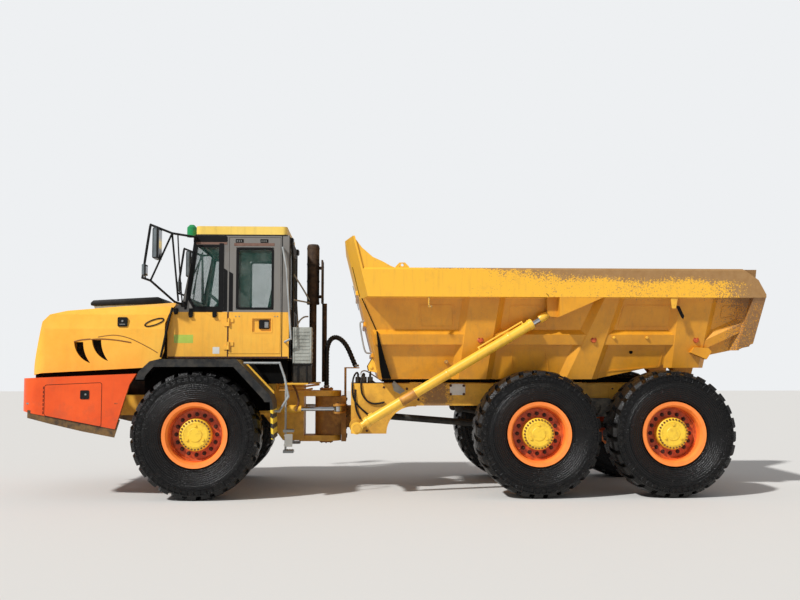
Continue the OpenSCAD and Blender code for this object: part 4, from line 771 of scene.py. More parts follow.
cutPlate(bm, oblong(-2.06, 1.15, -2.0, 1.168), -1.225, -1.228)
finishPiece("skirt_locks", bm, "zincSteel", "front_unit", pair=True)
bm = bmesh.new()
cutPlate(bm, oblong(-1.0, 1.15, -0.955, 1.166), skin, -1.252)
finishPiece("skirt_markers", bm, "markerRed", "front_unit", pair=True)
bm = bmesh.new()
for z in skirtLook["grilleBars"]:
    weldedBlock(bm, (-2.128, -0.52, z - 0.012), (-2.098, 0.52, z + 0.01), 0.004)
for y in skirtLook["grillePosts"]:
    weldedBlock(bm, (-2.122, y - 0.012, 1.15), (-2.095, y + 0.012, 1.4), 0.003)
finishPiece("bumper_grille", bm, "trimBlack", "front_unit")
bm = bmesh.new()
turnedRing(bm, [(0.082, -0.02), (0.082, 0.005), (0.09, 0.0085), (0.1, 0.0055), (0.1, -0.02)],
           40)
place = Matrix.Translation((-2.13, -skirtLook["lampY"], skirtLook["lampZ"])) \
    @ Matrix.Rotation(math.radians(-90), 4, "Y")
finishPiece("headlamp_bezels", bm, "trimBlack", "front_unit", place, True)
bm = bmesh.new()
for y in (-0.5, 0.44):
    weldedBlock(bm, (-2.138, y, 1.2), (-2.126, y + 0.06, 1.34), 0.003)
finishPiece("turn_lamps", bm, "lensAmber", "front_unit")
bm = bmesh.new()
weldedBlock(bm, (-2.139, -0.26, 1.16), (-2.132, 0.26, 1.27), 0.002)
finishPiece("front_plate_blank", bm, "plateWhite", "front_unit")
# rusty bevel below the skirt's side
bm = bmesh.new()
cutPlate(bm, [(-2.04, 1.08), (-2.04, 0.985), (-1.778, 0.915), (-1.38, 0.82), (-0.995, 0.745),
              (-0.93, 0.96)], -1.24, -1.228)
finishPiece("skirt_bevel_strips", bm, "bevelOlive", "front_unit", pair=True)
print("front done")


# Fenders: ribs and bolts on the top, stays behind
fenderLook = {
    "top": 1.69, "ribs": 12, "ribApart": 0.075, "ribWidth": 0.028,
    "boltX": (-0.42, -0.1, 0.16, 0.48), "boltY": (-1.47, -0.87), "boltSize": 0.009,
}
top = fenderLook["top"]
bm = bmesh.new()
for k in range(fenderLook["ribs"]):
    x = -0.4 + k * fenderLook["ribApart"]
    weldedBlock(bm, (x, -1.45, top), (x + fenderLook["ribWidth"], -0.9, top + 0.0065), 0.002)
for x in fenderLook["boltX"]:
    for y in fenderLook["boltY"]:
        hexBolt(bm, (x, y, top + 0.002), (0, 0, 1), fenderLook["boltSize"])
finishPiece("fender_tread", bm, "fenderBlack", "front_unit", pair=True)
bm = bmesh.new()
cutPlate(bm, [(0.53, 1.655), (0.56, 1.655), (0.905, 1.295), (0.905, 1.255)], -0.86, -0.9)
finishPiece("fender_stays", bm, "frameYellow", "front_unit", pair=True)

# Cab: window seals, clamps, vents, strips, handle, trims, blank plates, shut lines
cabLook = {
    "skin": -0.8385, "sealWidth": 0.03, "ventX": (0.395, 0.71), "slats": 3,
    "clamps": [(-0.345, 2.3), (-0.16, 2.262), (0.14, 2.262)],
    "doorBolts": (0.405, 0.45, 0.9, 0.935),
    "frontPane": [(-0.11, 3.16), (0.215, 3.16), (0.215, 2.34), (-0.13, 2.34), (-0.205, 2.465)],
    "doorPane": oblong(0.405, 2.33, 0.885, 3.13),
}
skin = cabLook["skin"]
bm = bmesh.new()
cutPlate(bm, cabLook["frontPane"], -0.8425, -0.805, 0.03, cabLook["sealWidth"])
cutPlate(bm, oblong(-0.185, 2.3, 0.235, 2.345), skin, -0.8435, 0.006)
cutPlate(bm, [(-0.12, 3.195), (0.29, 3.195), (0.29, 3.275), (-0.1, 3.275)], skin, -0.8455, 0.02)
cutPlate(bm, oblong(0.19, 2.31, 0.248, 3.18), skin, -0.8455)
cutPlate(bm, [(0.25, 2.31), (0.296, 2.31), (0.296, 2.83), (0.25, 2.86)], skin, -0.8425, 0.006)
cutPlate(bm, [(-0.245, 2.33), (-0.215, 2.33), (-0.09, 3.28), (-0.125, 3.28)], skin, -0.8445)
cutPlate(bm, oblong(0.985, 1.735, 0.997, 3.28), skin, -0.8405)
# clamps under the pane
for x, z in cabLook["clamps"]:
    weldedBlock(bm, (x - 0.028, -0.862, z - 0.02), (x + 0.028, -0.836, z + 0.045), 0.006)
    roundBar(bm, (x - 0.02, -0.866, z - 0.022), (x + 0.02, -0.866, z - 0.022), 0.013, 10)
bothSides(bm)
cutPlate(bm, cabLook["doorPane"], 0.8425, 0.805, 0.05, cabLook["sealWidth"])
finishPiece("side_window_seals", bm, "sealRubberAndShade", "front_unit")
bm = bmesh.new()
cutPlate(bm, cabLook["doorPane"], -0.8425, -0.806, 0.05, cabLook["sealWidth"])
cutPlate(bm, [(0.316, 2.31), (0.367, 2.31), (0.367, 2.79), (0.316, 2.82)], skin, -0.8425)
finishPiece("door_window_seal", bm, "sealRubberAndShade", "cab_door")

bm = bmesh.new()
for x in cabLook["ventX"]:
    weldedBlock(bm, (x, -0.8455, 3.19), (x + 0.1, -0.838, 3.235), 0.004)
finishPiece("door_vents", bm, "trimBlack", "cab_door")
bm = bmesh.new()
for x in cabLook["ventX"]:
    for k in range(cabLook["slats"]):
        slat = x + 0.014 + k * 0.026
        weldedBlock(bm, (slat, -0.8475, 3.198), (slat + 0.012, -0.844, 3.222), 0.002)
finishPiece("door_vent_slats", bm, "zincSteel", "cab_door")
for name, low, high, edge, material, body, slot in (
        ("door_sun_strip", (0.376, -0.843, 3.148), (0.89, skin, 3.185), 0.002,
         "stripBrown", "cab_door", "frame_grey"),
        ("pane_sun_strip", (-0.11, -0.8445, 3.165), (0.288, skin, 3.195), 0.002,
         "stripBrown", "front_unit", "frame_grey"),
        ("door_handle", (0.7, -0.8435, 2.085), (0.835, -0.8185, 2.2), 0.008,
         "trimBlack", "cab_door", "dark_plastic")):
    bm = bmesh.new()
    weldedBlock(bm, low, high, edge)
    finishPiece(name, bm, material, body)
bm = bmesh.new()
weldedBlock(bm, (0.772, -0.8475, 2.1), (0.822, -0.842, 2.175), 0.006)
for x in cabLook["doorBolts"]:
    hexBolt(bm, (x, -0.84, 2.245), (0, -1, 0), 0.006)
finishPiece("door_lock_plate", bm, "zincSteel", "cab_door")
bm = bmesh.new()
cutPlate(bm, oblong(0.602, 2.035, 0.872, 2.232), -0.839, -0.8445, 0.02, 0.014)
finishPiece("door_dish_rim", bm, "cabYellow", "cab_door")

bm = bmesh.new()
cutPlate(bm, [(0.03, 2.285), (0.2, 2.185), (0.21, 2.2), (0.05, 2.298)], skin, -0.846)
cutPlate(bm, oblong(0.24, 2.13, 0.295, 2.29), skin, -0.8465, 0.02)
finishPiece("cab_side_trims", bm, "cabYellow", "front_unit", pair=True)
for name, outline, material in (
        ("side_plate_blank", oblong(-0.368, 1.905, -0.128, 2.01), "plateGreen"),
        ("side_label_blank", oblong(0.12, 1.77, 0.205, 1.855), "plateWhite")):
    bm = bmesh.new()
    cutPlate(bm, outline, -0.8395, -0.8412, 0.004)
    finishPiece(name, bm, material, "front_unit")
# shut line ahead of the door and the dark edge below the cab
bm = bmesh.new()
cutPlate(bm, oblong(0.299, 1.735, 0.314, 2.3), skin, -0.8408)
cutPlate(bm, oblong(-0.445, 1.713, 1.07, 1.735), skin, -0.8425)
finishPiece("cab_shut_lines", bm, "nutSteel", "front_unit")

# rear wall of the cab: black lining round the window
bm = bmesh.new()
for y0, y1, z0, z1 in ((-0.832, 0.832, 1.72, 2.352), (-0.832, -0.7, 2.356, 3.275),
                       (0.7, 0.832, 2.356, 3.275), (-0.696, 0.696, 3.156, 3.275)):
    weldedBlock(bm, (1.078, y0, z0), (1.088, y1, z1), 0.003)
for y in (-0.45, 0.0, 0.45):
    weldedBlock(bm, (1.086, y - 0.03, 1.75), (1.094, y + 0.03, 2.32), 0.004)
finishPiece("cab_rear_lining", bm, "castBlack", "front_unit")
# windscreen seal, wiper and its motor cover, drawn upright and then leaned back
screenLook = {"foot": (-0.262, 0, 2.482), "back": 0.165, "up": 0.85}
lean = math.atan2(screenLook["back"], screenLook["up"])
place = Matrix.Translation(screenLook["foot"]) @ Matrix.Rotation(lean, 4, "Y") \
    @ Matrix.Rotation(math.radians(90), 4, "Z")
bm = bmesh.new()
cutPlate(bm, oblong(-0.735, 0.0, 0.735, 0.73), -0.012, 0.004, 0.05, 0.03)
roundBar(bm, (0.1, 0.03, -0.02), (0.1, 0.0, -0.02), 0.022, 14, chamfer=0.004)
roundBar(bm, (0.1, 0.024, -0.02), (-0.12, 0.022, 0.42), 0.008, 8)
weldedBlock(bm, (-0.135, 0.006, 0.1), (-0.115, 0.02, 0.66), 0.003)
finishPiece("windscreen_seal", bm, "sealRubberAndShade", "front_unit", place)
# roof gutters and work lamps at the rear corners
lampY = -0.62
bm = bmesh.new()
weldedBlock(bm, (-0.115, -0.846, 3.28), (1.055, -0.832, 3.294), 0.003)
weldedBlock(bm, (1.075, lampY - 0.06, 3.2), (1.12, lampY + 0.06, 3.28), 0.01)
finishPiece("roof_gutters", bm, "castBlack", "front_unit", pair=True)
bm = bmesh.new()
cutPlate(bm, oblong(-0.045, 3.212, 0.045, 3.268), 0, 0.006, 0.012)
place = Matrix.Translation((1.124, lampY, 0)) @ Matrix.Rotation(math.radians(90), 4, "Z")
finishPiece("work_lamp_lenses", bm, "lampGlass", "front_unit", place, True)
print("cab done")


# Driver's seat: crowned cushions with sewn channels over a bellows foot
def paddedCushion(name, low, high, look):
    bm = bmesh.new()
    low, high = Vector(low), Vector(high)
    size = high - low
    bmesh.ops.create_cube(bm, size=2)
    bmesh.ops.subdivide_edges(bm, edges=bm.edges[:], cuts=11, use_grid_fill=True)
    for v in bm.verts:
        u = Vector(v.co)
        # the middle stands proud, the sides pull in between the corners
        crown = 1 - look["crown"] * (u.x ** 2 + u.y ** 2) / 2
        waist = 1 - look["waist"] * (1 - u.z ** 2)
        channel = look["channel"] if abs(abs(u.y) - 0.36) < 0.05 and abs(u.z) > 0.9 else 0
        v.co = ((u.x * waist) * size.x / 2, (u.y * waist) * size.y / 2,
                (u.z * crown - math.copysign(channel, u.z)) * size.z / 2)
    bmesh.ops.smooth_vert(bm, verts=bm.verts, factor=0.5, use_axis_x=True, use_axis_y=True,
                          use_axis_z=True)
    turn = Matrix.Rotation(look["lean"], 4, "Y")
    bmesh.ops.transform(bm, matrix=Matrix.Translation((low + high) / 2) @ turn, verts=bm.verts)
    made = finishPiece(name, bm, "seatCloth", "front_unit")
    rounding = made.modifiers.new("rounding", "SUBSURF")
    rounding.levels = rounding.render_levels = 1
    return made


seatLook = {"crown": 0.22, "waist": 0.05, "channel": 0.1, "lean": 0.0}
for name, low, high, change in (
        ("seat_cushion", (0.285, -0.255, 2.035), (0.785, 0.255, 2.16), {}),
        ("seat_back", (0.765, -0.235, 2.15), (0.865, 0.235, 2.81),
         {"lean": math.radians(11), "crown": 0.1}),
        ("seat_headrest", (0.865, -0.13, 2.83), (0.955, 0.13, 2.995), {"channel": 0.0})):
    cushion = paddedCushion(name, low, high, {**seatLook, **change})
    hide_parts("driver_seat")
bm = bmesh.new()
for k in range(5):
    grow = 0.012 * (k % 2)
    weldedBlock(bm, (0.34 - grow, -0.19 - grow, 1.775 + k * 0.05),
                (0.69 + grow, 0.19 + grow, 1.822 + k * 0.05), 0.012)
weldedBlock(bm, (0.32, -0.22, 2.02), (0.74, 0.22, 2.045), 0.006)
for y in (-0.07, 0.07):
    roundBar(bm, (0.885, y, 2.78), (0.905, y, 2.87), 0.008, 8)
foot = finishPiece("seat_foot", bm, "trimBlack", "front_unit")
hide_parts("driver_seat")
print("seat done")


# Mirrors: glass in the heads, faces turned to the rear
mirrorLook = {
    "glasses": [(-1.305, -1.095, -0.49, 2.94, 3.305), (-1.265, -1.135, -0.65, 2.735, 2.855)],
    "shells": [((-0.568, -1.316, 2.928), (-0.495, -1.084, 3.316)),
               ((-0.698, -1.275, 2.724), (-0.656, -1.125, 2.866))],
    "tubeRadius": 0.009,
}
bm = bmesh.new()
for y0, y1, x, z0, z1 in mirrorLook["glasses"]:
    weldedBlock(bm, (x - 0.004, y0 + 0.012, z0 + 0.012), (x + 0.004, y1 - 0.012, z1 - 0.012),
                0.003)
finishPiece("mirror_glasses", bm, "mirrorFace", "front_unit", pair=True)
bm = bmesh.new()
for low, high in mirrorLook["shells"]:
    weldedBlock(bm, low, high, 0.022)
finishPiece("mirror_shells", bm, "shellGrey", "front_unit", pair=True)
bentTubes("mirror_second_tubes", [
    [(-0.62, -1.2, 3.35), (-0.655, -1.2, 3.1), (-0.7, -1.2, 2.76), (-0.66, -1.2, 2.7)],
    [(-0.31, -1.01, 3.285), (-0.29, -0.98, 2.8), (-0.262, -0.885, 2.4)]],
    mirrorLook["tubeRadius"], "trimBlack", "front_unit", pair=True)
bm = bmesh.new()
for z in (3.0, 3.1, 3.2):
    roundBar(bm, (-0.565, -1.2, z), (-0.555, -1.2, z), 0.03, 14, chamfer=0.003)
for x, z in ((-0.25, 2.41), (-0.11, 3.24)):
    roundBar(bm, (x, -0.87, z - 0.03), (x, -0.87, z + 0.02), 0.024, 12, chamfer=0.004)
finishPiece("mirror_clamps", bm, "trimBlack", "front_unit", pair=True)

# Behind the cab: louvres, straps, stack bands, shield folds, braces, lines
boxLook = {"louvres": 9, "louvreApart": 0.045, "louvreHeight": 0.028, "rearSlats": 6}
stackLook = {"centre": (1.34, 0.25, 0), "bands": (2.48, 2.78, 3.02, 3.24), "braceRadius": 0.011}
lineLook = {"cabRadius": 0.014, "frameRadius": 0.013}
bm = bmesh.new()
for k in range(boxLook["louvres"]):
    z = 1.69 + k * boxLook["louvreApart"]
    cutPlate(bm, oblong(1.152, z, 1.348, z + boxLook["louvreHeight"]), -0.799, -0.806, 0.006)
for x in (1.133, 1.352):
    weldedBlock(bm, (x, -0.8065, 1.655), (x + 0.016, -0.798, 2.105), 0.003)
for k in range(boxLook["rearSlats"]):
    weldedBlock(bm, (1.369, -0.775, 1.7 + k * 0.065), (1.376, -0.525, 1.735 + k * 0.065), 0.002)
finishPiece("box_louvres", bm, "sheetGrey", "front_unit")
bm = bmesh.new()
for x in (1.19, 1.3):
    weldedBlock(bm, (x, -0.802, 1.405), (x + 0.022, -0.793, 1.648), 0.002)
weldedBlock(bm, (1.136, -0.803, 1.62), (1.369, -0.5, 1.645), 0.004)
finishPiece("battery_straps", bm, "trimBlack", "front_unit")
place = Matrix.Translation(stackLook["centre"])
bm = bmesh.new()
for z in stackLook["bands"]:
    turnedRing(bm, [(0.08, z), (0.089, z + 0.002), (0.089, z + 0.022), (0.08, z + 0.024)], 32)
turnedRing(bm, [(0.06, 3.275), (0.06, 3.305), (0.066, 3.308), (0.072, 3.303), (0.086, 3.276),
                (0.086, 3.27)], 32)
finishPiece("stack_bands", bm, "rustSteel", "front_unit", place)
bm = bmesh.new()
for y in (0.12, 0.38):
    weldedBlock(bm, (1.477, y - 0.008, 2.49), (1.484, y + 0.008, 3.075), 0.002)
for z in (2.55, 2.78, 3.0):
    for y in (0.16, 0.34):
        hexBolt(bm, (1.479, y, z), (1, 0, 0), 0.009)
finishPiece("shield_folds", bm, "castBlack", "front_unit")
bentTubes("stack_braces", [
    [(1.085, -0.3, 2.86), (1.2, -0.05, 2.7), (1.29, 0.18, 2.53)],
    [(1.085, -0.3, 2.5), (1.2, -0.05, 2.495), (1.3, 0.19, 2.49)],
    [(1.16, -0.62, 2.1), (1.2, -0.4, 2.28), (1.27, 0.2, 2.3)]],
    stackLook["braceRadius"], "tubeGrey", "front_unit")
bentTubes("cab_rear_lines", [
    [(1.1, -0.66, 3.19), (1.115, -0.68, 3.1), (1.118, -0.69, 2.6), (1.118, -0.69, 2.2),
     (1.12, -0.68, 1.72), (1.125, -0.64, 1.41)],
    [(1.1, 0.5, 2.2), (1.13, 0.5, 2.1), (1.15, 0.5, 1.7), (1.2, 0.45, 1.41)],
    [(1.1, -0.4, 1.9), (1.16, -0.4, 1.85), (1.2, -0.42, 1.6), (1.25, -0.42, 1.4)]],
    lineLook["cabRadius"], "hoseRubber", "front_unit")
# pipes and a hose along the front frame's side
bentTubes("frame_side_pipes", [
    [(0.95, -0.64, 1.345), (1.1, -0.64, 1.345), (1.26, -0.64, 1.346), (1.36, -0.62, 1.365),
     (1.42, -0.5, 1.37), (1.45, -0.42, 1.372)],
    [(0.95, -0.64, 1.3), (1.15, -0.64, 1.3), (1.3, -0.64, 1.305), (1.38, -0.63, 1.325)]],
    lineLook["frameRadius"], "hitchYellow", "front_unit")
bentTubes("frame_side_hoses", [
    [(1.111, -0.66, 1.396), (1.165, -0.67, 1.32), (1.189, -0.67, 1.242),
     (1.209, -0.67, 1.139), (1.165, -0.665, 1.036)]],
    lineLook["frameRadius"], "boltBrown", "front_unit")
print("cab rear done")


# Wrapped hose over the hitch, swept step by step; every second step is a swollen ring
hoseLook = {"radius": 0.03, "swell": 0.006, "sides": 18}
hitchLook = {
    "pin": 1.54, "pinBolts": 6, "pinBoltRing": 0.07, "pinBoltSize": 0.011,
    "plateBolts": (0.68, 0.8, 0.95, 1.08, 1.17), "plateBoltSize": 0.014,
}
pinX = hitchLook["pin"]
hosePath = [Vector((pinX, 0, 1.323 + 0.02 * k)) for k in range(22)]
hosePath += interpolate_bezier(Vector((pinX, 0, 1.763)), Vector((pinX, 0, 2.09)),
                               Vector((1.74, 0, 2.07)), Vector((1.85, 0, 1.81)), 36)
hosePath += [Vector((1.85 + 0.0088 * k, 0, 1.81 - 0.0208 * k)) for k in range(1, 11)]
last = len(hosePath) - 1
headings = [(hosePath[min(k + 1, last)] - hosePath[max(k - 1, 0)]).normalized()
            for k in range(last + 1)]
bm = bmesh.new()
ring = bmesh.ops.create_circle(bm, cap_ends=True, segments=hoseLook["sides"],
                               radius=hoseLook["radius"],
                               matrix=Matrix.Translation(hosePath[0]))["verts"]
edges = list({e for v in ring for e in v.link_edges})
for k in range(1, last + 1):
    grown = bmesh.ops.extrude_edge_only(bm, edges=edges)["geom"]
    ring = [v for v in grown if isinstance(v, bmesh.types.BMVert)]
    edges = [e for e in grown if isinstance(e, bmesh.types.BMEdge)
             and e.verts[0] in ring and e.verts[1] in ring]
    bend = headings[k - 1].rotation_difference(headings[k]).to_matrix()
    bmesh.ops.rotate(bm, verts=ring, cent=hosePath[k - 1], matrix=bend)
    bmesh.ops.translate(bm, verts=ring, vec=hosePath[k] - hosePath[k - 1])
    before, now = [hoseLook["radius"] + hoseLook["swell"] * (j % 2) for j in (k - 1, k)]
    bmesh.ops.scale(bm, verts=ring, vec=(now / before,) * 3,
                    space=Matrix.Translation(-hosePath[k]))
bmesh.ops.holes_fill(bm, edges=edges, sides=0)
hose = finishPiece("corrugated_hose", bm, "hoseRubber", "hitch")
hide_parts("hitch_hose")
bm = bmesh.new()
for x, z in ((pinX, 1.33), (1.94, 1.61)):
    roundBar(bm, (x, 0, z), (x, 0, z + 0.028), 0.039, 20, chamfer=0.003)
finishPiece("hose_clips", bm, "zincSteel", "hitch")

# Hitch bolts, then the valve block with its hoses and pipes on the rear frame
bm = bmesh.new()
for z, up in ((1.323, 1), (0.595, -1)):
    boltRing(bm, (pinX, 0, z), (0, 0, up), (1, 0, 0), hitchLook["pinBoltRing"],
             hitchLook["pinBolts"], hitchLook["pinBoltSize"], 30)
for y in (-0.225, 0.225):
    for z in hitchLook["plateBolts"]:
        hexBolt(bm, (1.811, y, z), (1, 0, 0), hitchLook["plateBoltSize"])
for y in (-0.54, 0.54):
    hexBolt(bm, (1.7, y, 1.132), (0, 0, 1), hitchLook["plateBoltSize"])
finishPiece("hitch_bolts", bm, "nutSteel", "hitch")
valveLook = {"sections": (1.965, 2.045, 2.125), "hoseRadius": 0.012, "pipeRadius": 0.008}
bm = bmesh.new()
for x in valveLook["sections"]:
    weldedBlock(bm, (x - 0.035, -0.47, 1.387), (x + 0.035, -0.31, 1.475), 0.006)
    roundBar(bm, (x, -0.48, 1.43), (x, -0.46, 1.43), 0.022, 12, chamfer=0.003)
    roundBar(bm, (x, -0.43, 1.47), (x, -0.43, 1.515), 0.017, 6)
    roundBar(bm, (x, -0.36, 1.47), (x, -0.36, 1.50), 0.017, 6)
weldedBlock(bm, (1.915, -0.5, 1.386), (2.175, -0.29, 1.394), 0.002)
finishPiece("valve_block", bm, "castGrey", "rear_unit")
bentTubes("frame_hoses", [
    [(1.965, -0.43, 1.51), (1.955, -0.47, 1.55), (1.9, -0.58, 1.47), (1.89, -0.622, 1.33),
     (1.9, -0.622, 1.2), (1.98, -0.622, 1.08), (2.11, -0.622, 0.98)],
    [(2.045, -0.43, 1.51), (2.035, -0.5, 1.53), (2.005, -0.6, 1.45), (2.003, -0.622, 1.33),
     (2.02, -0.622, 1.24), (2.09, -0.622, 1.15), (2.2, -0.622, 1.118), (2.31, -0.622, 1.15)],
    [(2.125, -0.43, 1.51), (2.13, -0.36, 1.56), (2.13, -0.15, 1.5), (2.14, 0.0, 1.41),
     (2.3, 0.05, 1.33)],
    [(1.93, -0.6, 1.3), (1.925, -0.622, 1.2), (1.94, -0.622, 1.02), (2.0, -0.622, 0.93)]],
    valveLook["hoseRadius"], "hoseRubber", "rear_unit")
bentTubes("steel_pipes", [
    [(2.0, -0.36, 1.5), (2.0, -0.34, 1.545), (2.07, -0.25, 1.56), (2.16, -0.2, 1.5),
     (2.3, -0.2, 1.41)],
    [(2.3, -0.48, 1.3), (2.9, -0.48, 1.3), (3.6, -0.48, 1.3), (4.4, -0.48, 1.28),
     (5.6, -0.48, 1.28)],
    [(2.3, -0.48, 1.26), (2.9, -0.48, 1.26), (3.5, -0.48, 1.25), (4.3, -0.46, 1.1)]],
    valveLook["pipeRadius"], "zincSteel", "rear_unit")
# sides of the rear frame: grey stay, bolts, bolted patches
sideLook = {
    "skin": -0.599, "whiteBolts": [(3.17, 1.25), (3.17, 1.36), (3.34, 1.25), (3.34, 1.36)],
    "railBoltX": (2.6, 2.75, 4.55, 4.7, 5.3, 5.45), "railBoltZ": (1.18, 1.32),
    "cheekBolts": [(1.93, 0.8), (1.93, 1.3), (2.08, 0.78), (2.3, 1.34)],
    "patchX": (4.5, 5.25), "rests": 12, "restApart": 0.31,
}
skin = sideLook["skin"]
bm = bmesh.new()
cutPlate(bm, [(2.406, 1.385), (2.43, 1.425), (2.575, 1.293), (2.51, 1.254), (2.432, 1.293)],
         -0.6, -0.612)
finishPiece("frame_stay", bm, "sheetGrey", "rear_unit")
bm = bmesh.new()
for x, z in sideLook["whiteBolts"]:
    hexBolt(bm, (x, -0.613, z), (0, -1, 0), 0.013)
for x in sideLook["railBoltX"]:
    for z in sideLook["railBoltZ"]:
        hexBolt(bm, (x, -0.6, z), (0, -1, 0), 0.013)
for x, z in sideLook["cheekBolts"]:
    hexBolt(bm, (x, -0.6, z), (0, -1, 0), 0.012)
finishPiece("frame_bolts", bm, "nutSteel", "rear_unit", pair=True)
bm = bmesh.new()
for x in sideLook["patchX"]:
    cutPlate(bm, oblong(x, 1.15, x + 0.25, 1.35), skin, -0.606, 0.03)
finishPiece("frame_patches", bm, "frameYellow", "rear_unit", pair=True)
bm = bmesh.new()
cutPlate(bm, oblong(3.16, 1.24, 3.36, 1.384), skin, -0.611, 0.03)
finishPiece("frame_patch_white", bm, "plateWhite", "rear_unit", pair=True)
# rests along the rails in flat black, painting the shade of the slot between the rails and the bin
bm = bmesh.new()
for k in range(sideLook["rests"]):
    x = 2.3 + k * sideLook["restApart"]
    weldedBlock(bm, (x, -0.6, 1.401), (x + 0.306, -0.5, 1.4465), 0.004)
finishPiece("bin_rests_painted_shade", bm, "shadowBlack", "bin", pair=True)
print("hitch done")


# Axles: cover bolts, brake chambers on the rear ones, joint yokes, torque rods
axleLook = {
    "coverBolts": 12, "coverRing": 0.212, "boltSize": 0.012, "yokes": (3.84, 4.5, 5.53),
    "yokeZ": 0.82, "rods": [(3.3, 4.06), (4.95, 5.73)], "rodRadius": 0.028,
    "beamPivot": (5.015, 1.09), "capBolts": 8,
}
for name, body, axles in (("rear_axle_fittings", "rear_unit", ("mid", "rear")),
                          ("front_axle_fittings", "front_unit", ("front",))):
    bm = bmesh.new()
    for x in [axleX[key] for key in axles]:
        for s in (-1, 1):
            boltRing(bm, (x, s * 0.12, hubHeight), (0, s, 0), (1, 0, 0),
                     axleLook["coverRing"], axleLook["coverBolts"], axleLook["boltSize"])
            if body == "rear_unit":
                roundBar(bm, (x + 0.2, s * 0.42, 0.9), (x + 0.2, s * 0.62, 0.9), 0.075, 20,
                         chamfer=0.012)
                roundBar(bm, (x + 0.2, s * 0.515, 0.9), (x + 0.2, s * 0.53, 0.9), 0.086, 20,
                         chamfer=0.004)
                weldedBlock(bm, (x + 0.08, s * 0.56 - 0.03, 0.84),
                            (x + 0.22, s * 0.56 + 0.03, 0.87), 0.005)
    finishPiece(name, bm, "castBlack", body)
z = axleLook["yokeZ"]
bm = bmesh.new()
for x in axleLook["yokes"]:
    for y in (-0.058, 0.058):
        weldedBlock(bm, (x - 0.035, y - 0.014, z - 0.045), (x + 0.035, y + 0.014, z + 0.045),
                    0.006)
    roundBar(bm, (x, -0.075, z), (x, 0.075, z), 0.022, 12, chamfer=0.003)
    roundBar(bm, (x - 0.045, 0, z), (x - 0.03, 0, z), 0.082, 20, chamfer=0.003)
for s in (-1, 1):
    for x0, x1 in axleLook["rods"]:
        roundBar(bm, (x0, s * 0.4, 1.05), (x1, s * 0.3, 0.93), axleLook["rodRadius"], 12)
        for x, y, z in ((x0, s * 0.4, 1.05), (x1, s * 0.3, 0.93)):
            roundBar(bm, (x, y - 0.05, z), (x, y + 0.05, z), 0.05, 16, chamfer=0.005)
        weldedBlock(bm, (x0 - 0.06, s * 0.4 - 0.045, 1.06), (x0 + 0.06, s * 0.4 + 0.045, 1.15),
                    0.01)
finishPiece("torque_rods", bm, "castGrey", "rear_unit")
x, z = axleLook["beamPivot"]
bm = bmesh.new()
for s in (-1, 1):
    roundBar(bm, (x, s * 0.72, z), (x, s * 0.745, z), 0.085, 24, chamfer=0.006)
    boltRing(bm, (x, s * 0.744, z), (0, s, 0), (1, 0, 0), 0.06, axleLook["capBolts"], 0.009)
finishPiece("beam_caps", bm, "castBlack", "rear_unit")
# tail of the frame: lamps and a blank plate
tailLook = {"boxY": 0.545, "redY": 0.5, "amberY": 0.59, "lensZ": 1.265, "lensRadius": 0.036}
bm = bmesh.new()
for y in (-tailLook["boxY"], tailLook["boxY"]):
    weldedBlock(bm, (6.4, y - 0.11, 1.2), (6.425, y + 0.11, 1.33), 0.006)
weldedBlock(bm, (6.4, -0.2, 1.24), (6.408, 0.2, 1.345), 0.003)
finishPiece("tail_lamp_boxes", bm, "castBlack", "rear_unit")
z = tailLook["lensZ"]
for name, side, material in (("tail_lenses_red", tailLook["redY"], "lensRed"),
                             ("tail_lenses_amber", tailLook["amberY"], "lensAmber")):
    bm = bmesh.new()
    for y in (-side, side):
        roundBar(bm, (6.424, y, z), (6.436, y, z), tailLook["lensRadius"], 20, chamfer=0.005)
    finishPiece(name, bm, material, "rear_unit")
bm = bmesh.new()
weldedBlock(bm, (6.407, -0.17, 1.255), (6.411, 0.17, 1.335), 0.001)
finishPiece("rear_plate_blank", bm, "plateWhite", "rear_unit")
print("underside done")


# Bin walls lean out from their foot; a plate drawn upright is sheared onto them
wallLook = {"lean": 0.29, "foot": 0.84, "footHeight": 1.447}
onWall = Matrix(((1, 0, 0, 0),
                 (0, 1, -wallLook["lean"],
                  wallLook["footHeight"] * wallLook["lean"] - wallLook["foot"]),
                 (0, 0, 1, 0), (0, 0, 0, 1)))


# Half the bin's width at a height
def wallOut(z):
    return wallLook["foot"] + (z - wallLook["footHeight"]) * wallLook["lean"]


binPieces = {
    "panels": [
        [(3.873, 2.1), (4.369, 2.1), (4.30, 2.38), (3.873, 2.38)],
        [(5.263, 2.1), (5.94, 2.1), (5.97, 2.385), (5.33, 2.385)],
        [(2.75, 2.1), (3.17, 2.1), (3.17, 2.38), (2.72, 2.38)],
        [(3.95, 1.5), (4.42, 1.5), (4.36, 1.83), (3.9, 1.83)],
        [(5.05, 1.53), (5.85, 1.6), (5.88, 1.83), (5.1, 1.83)],
        [(6.58, 2.2), (6.78, 2.24), (6.8, 2.38), (6.6, 2.38)]],
    "markers": [(3.505, 1.942), (4.949, 1.944), (6.266, 1.946)], "markerRadius": 0.038,
    "knobs": [(5.206, 1.975), (5.63, 1.975)], "drain": (5.458, 1.795),
}
bm = bmesh.new()
for outline in binPieces["panels"]:
    cutPlate(bm, outline, 0.0, -0.007, 0.035, 0.016)
finishPiece("wall_panel_beads", bm, "binYellow", "bin", onWall, True)
bm = bmesh.new()
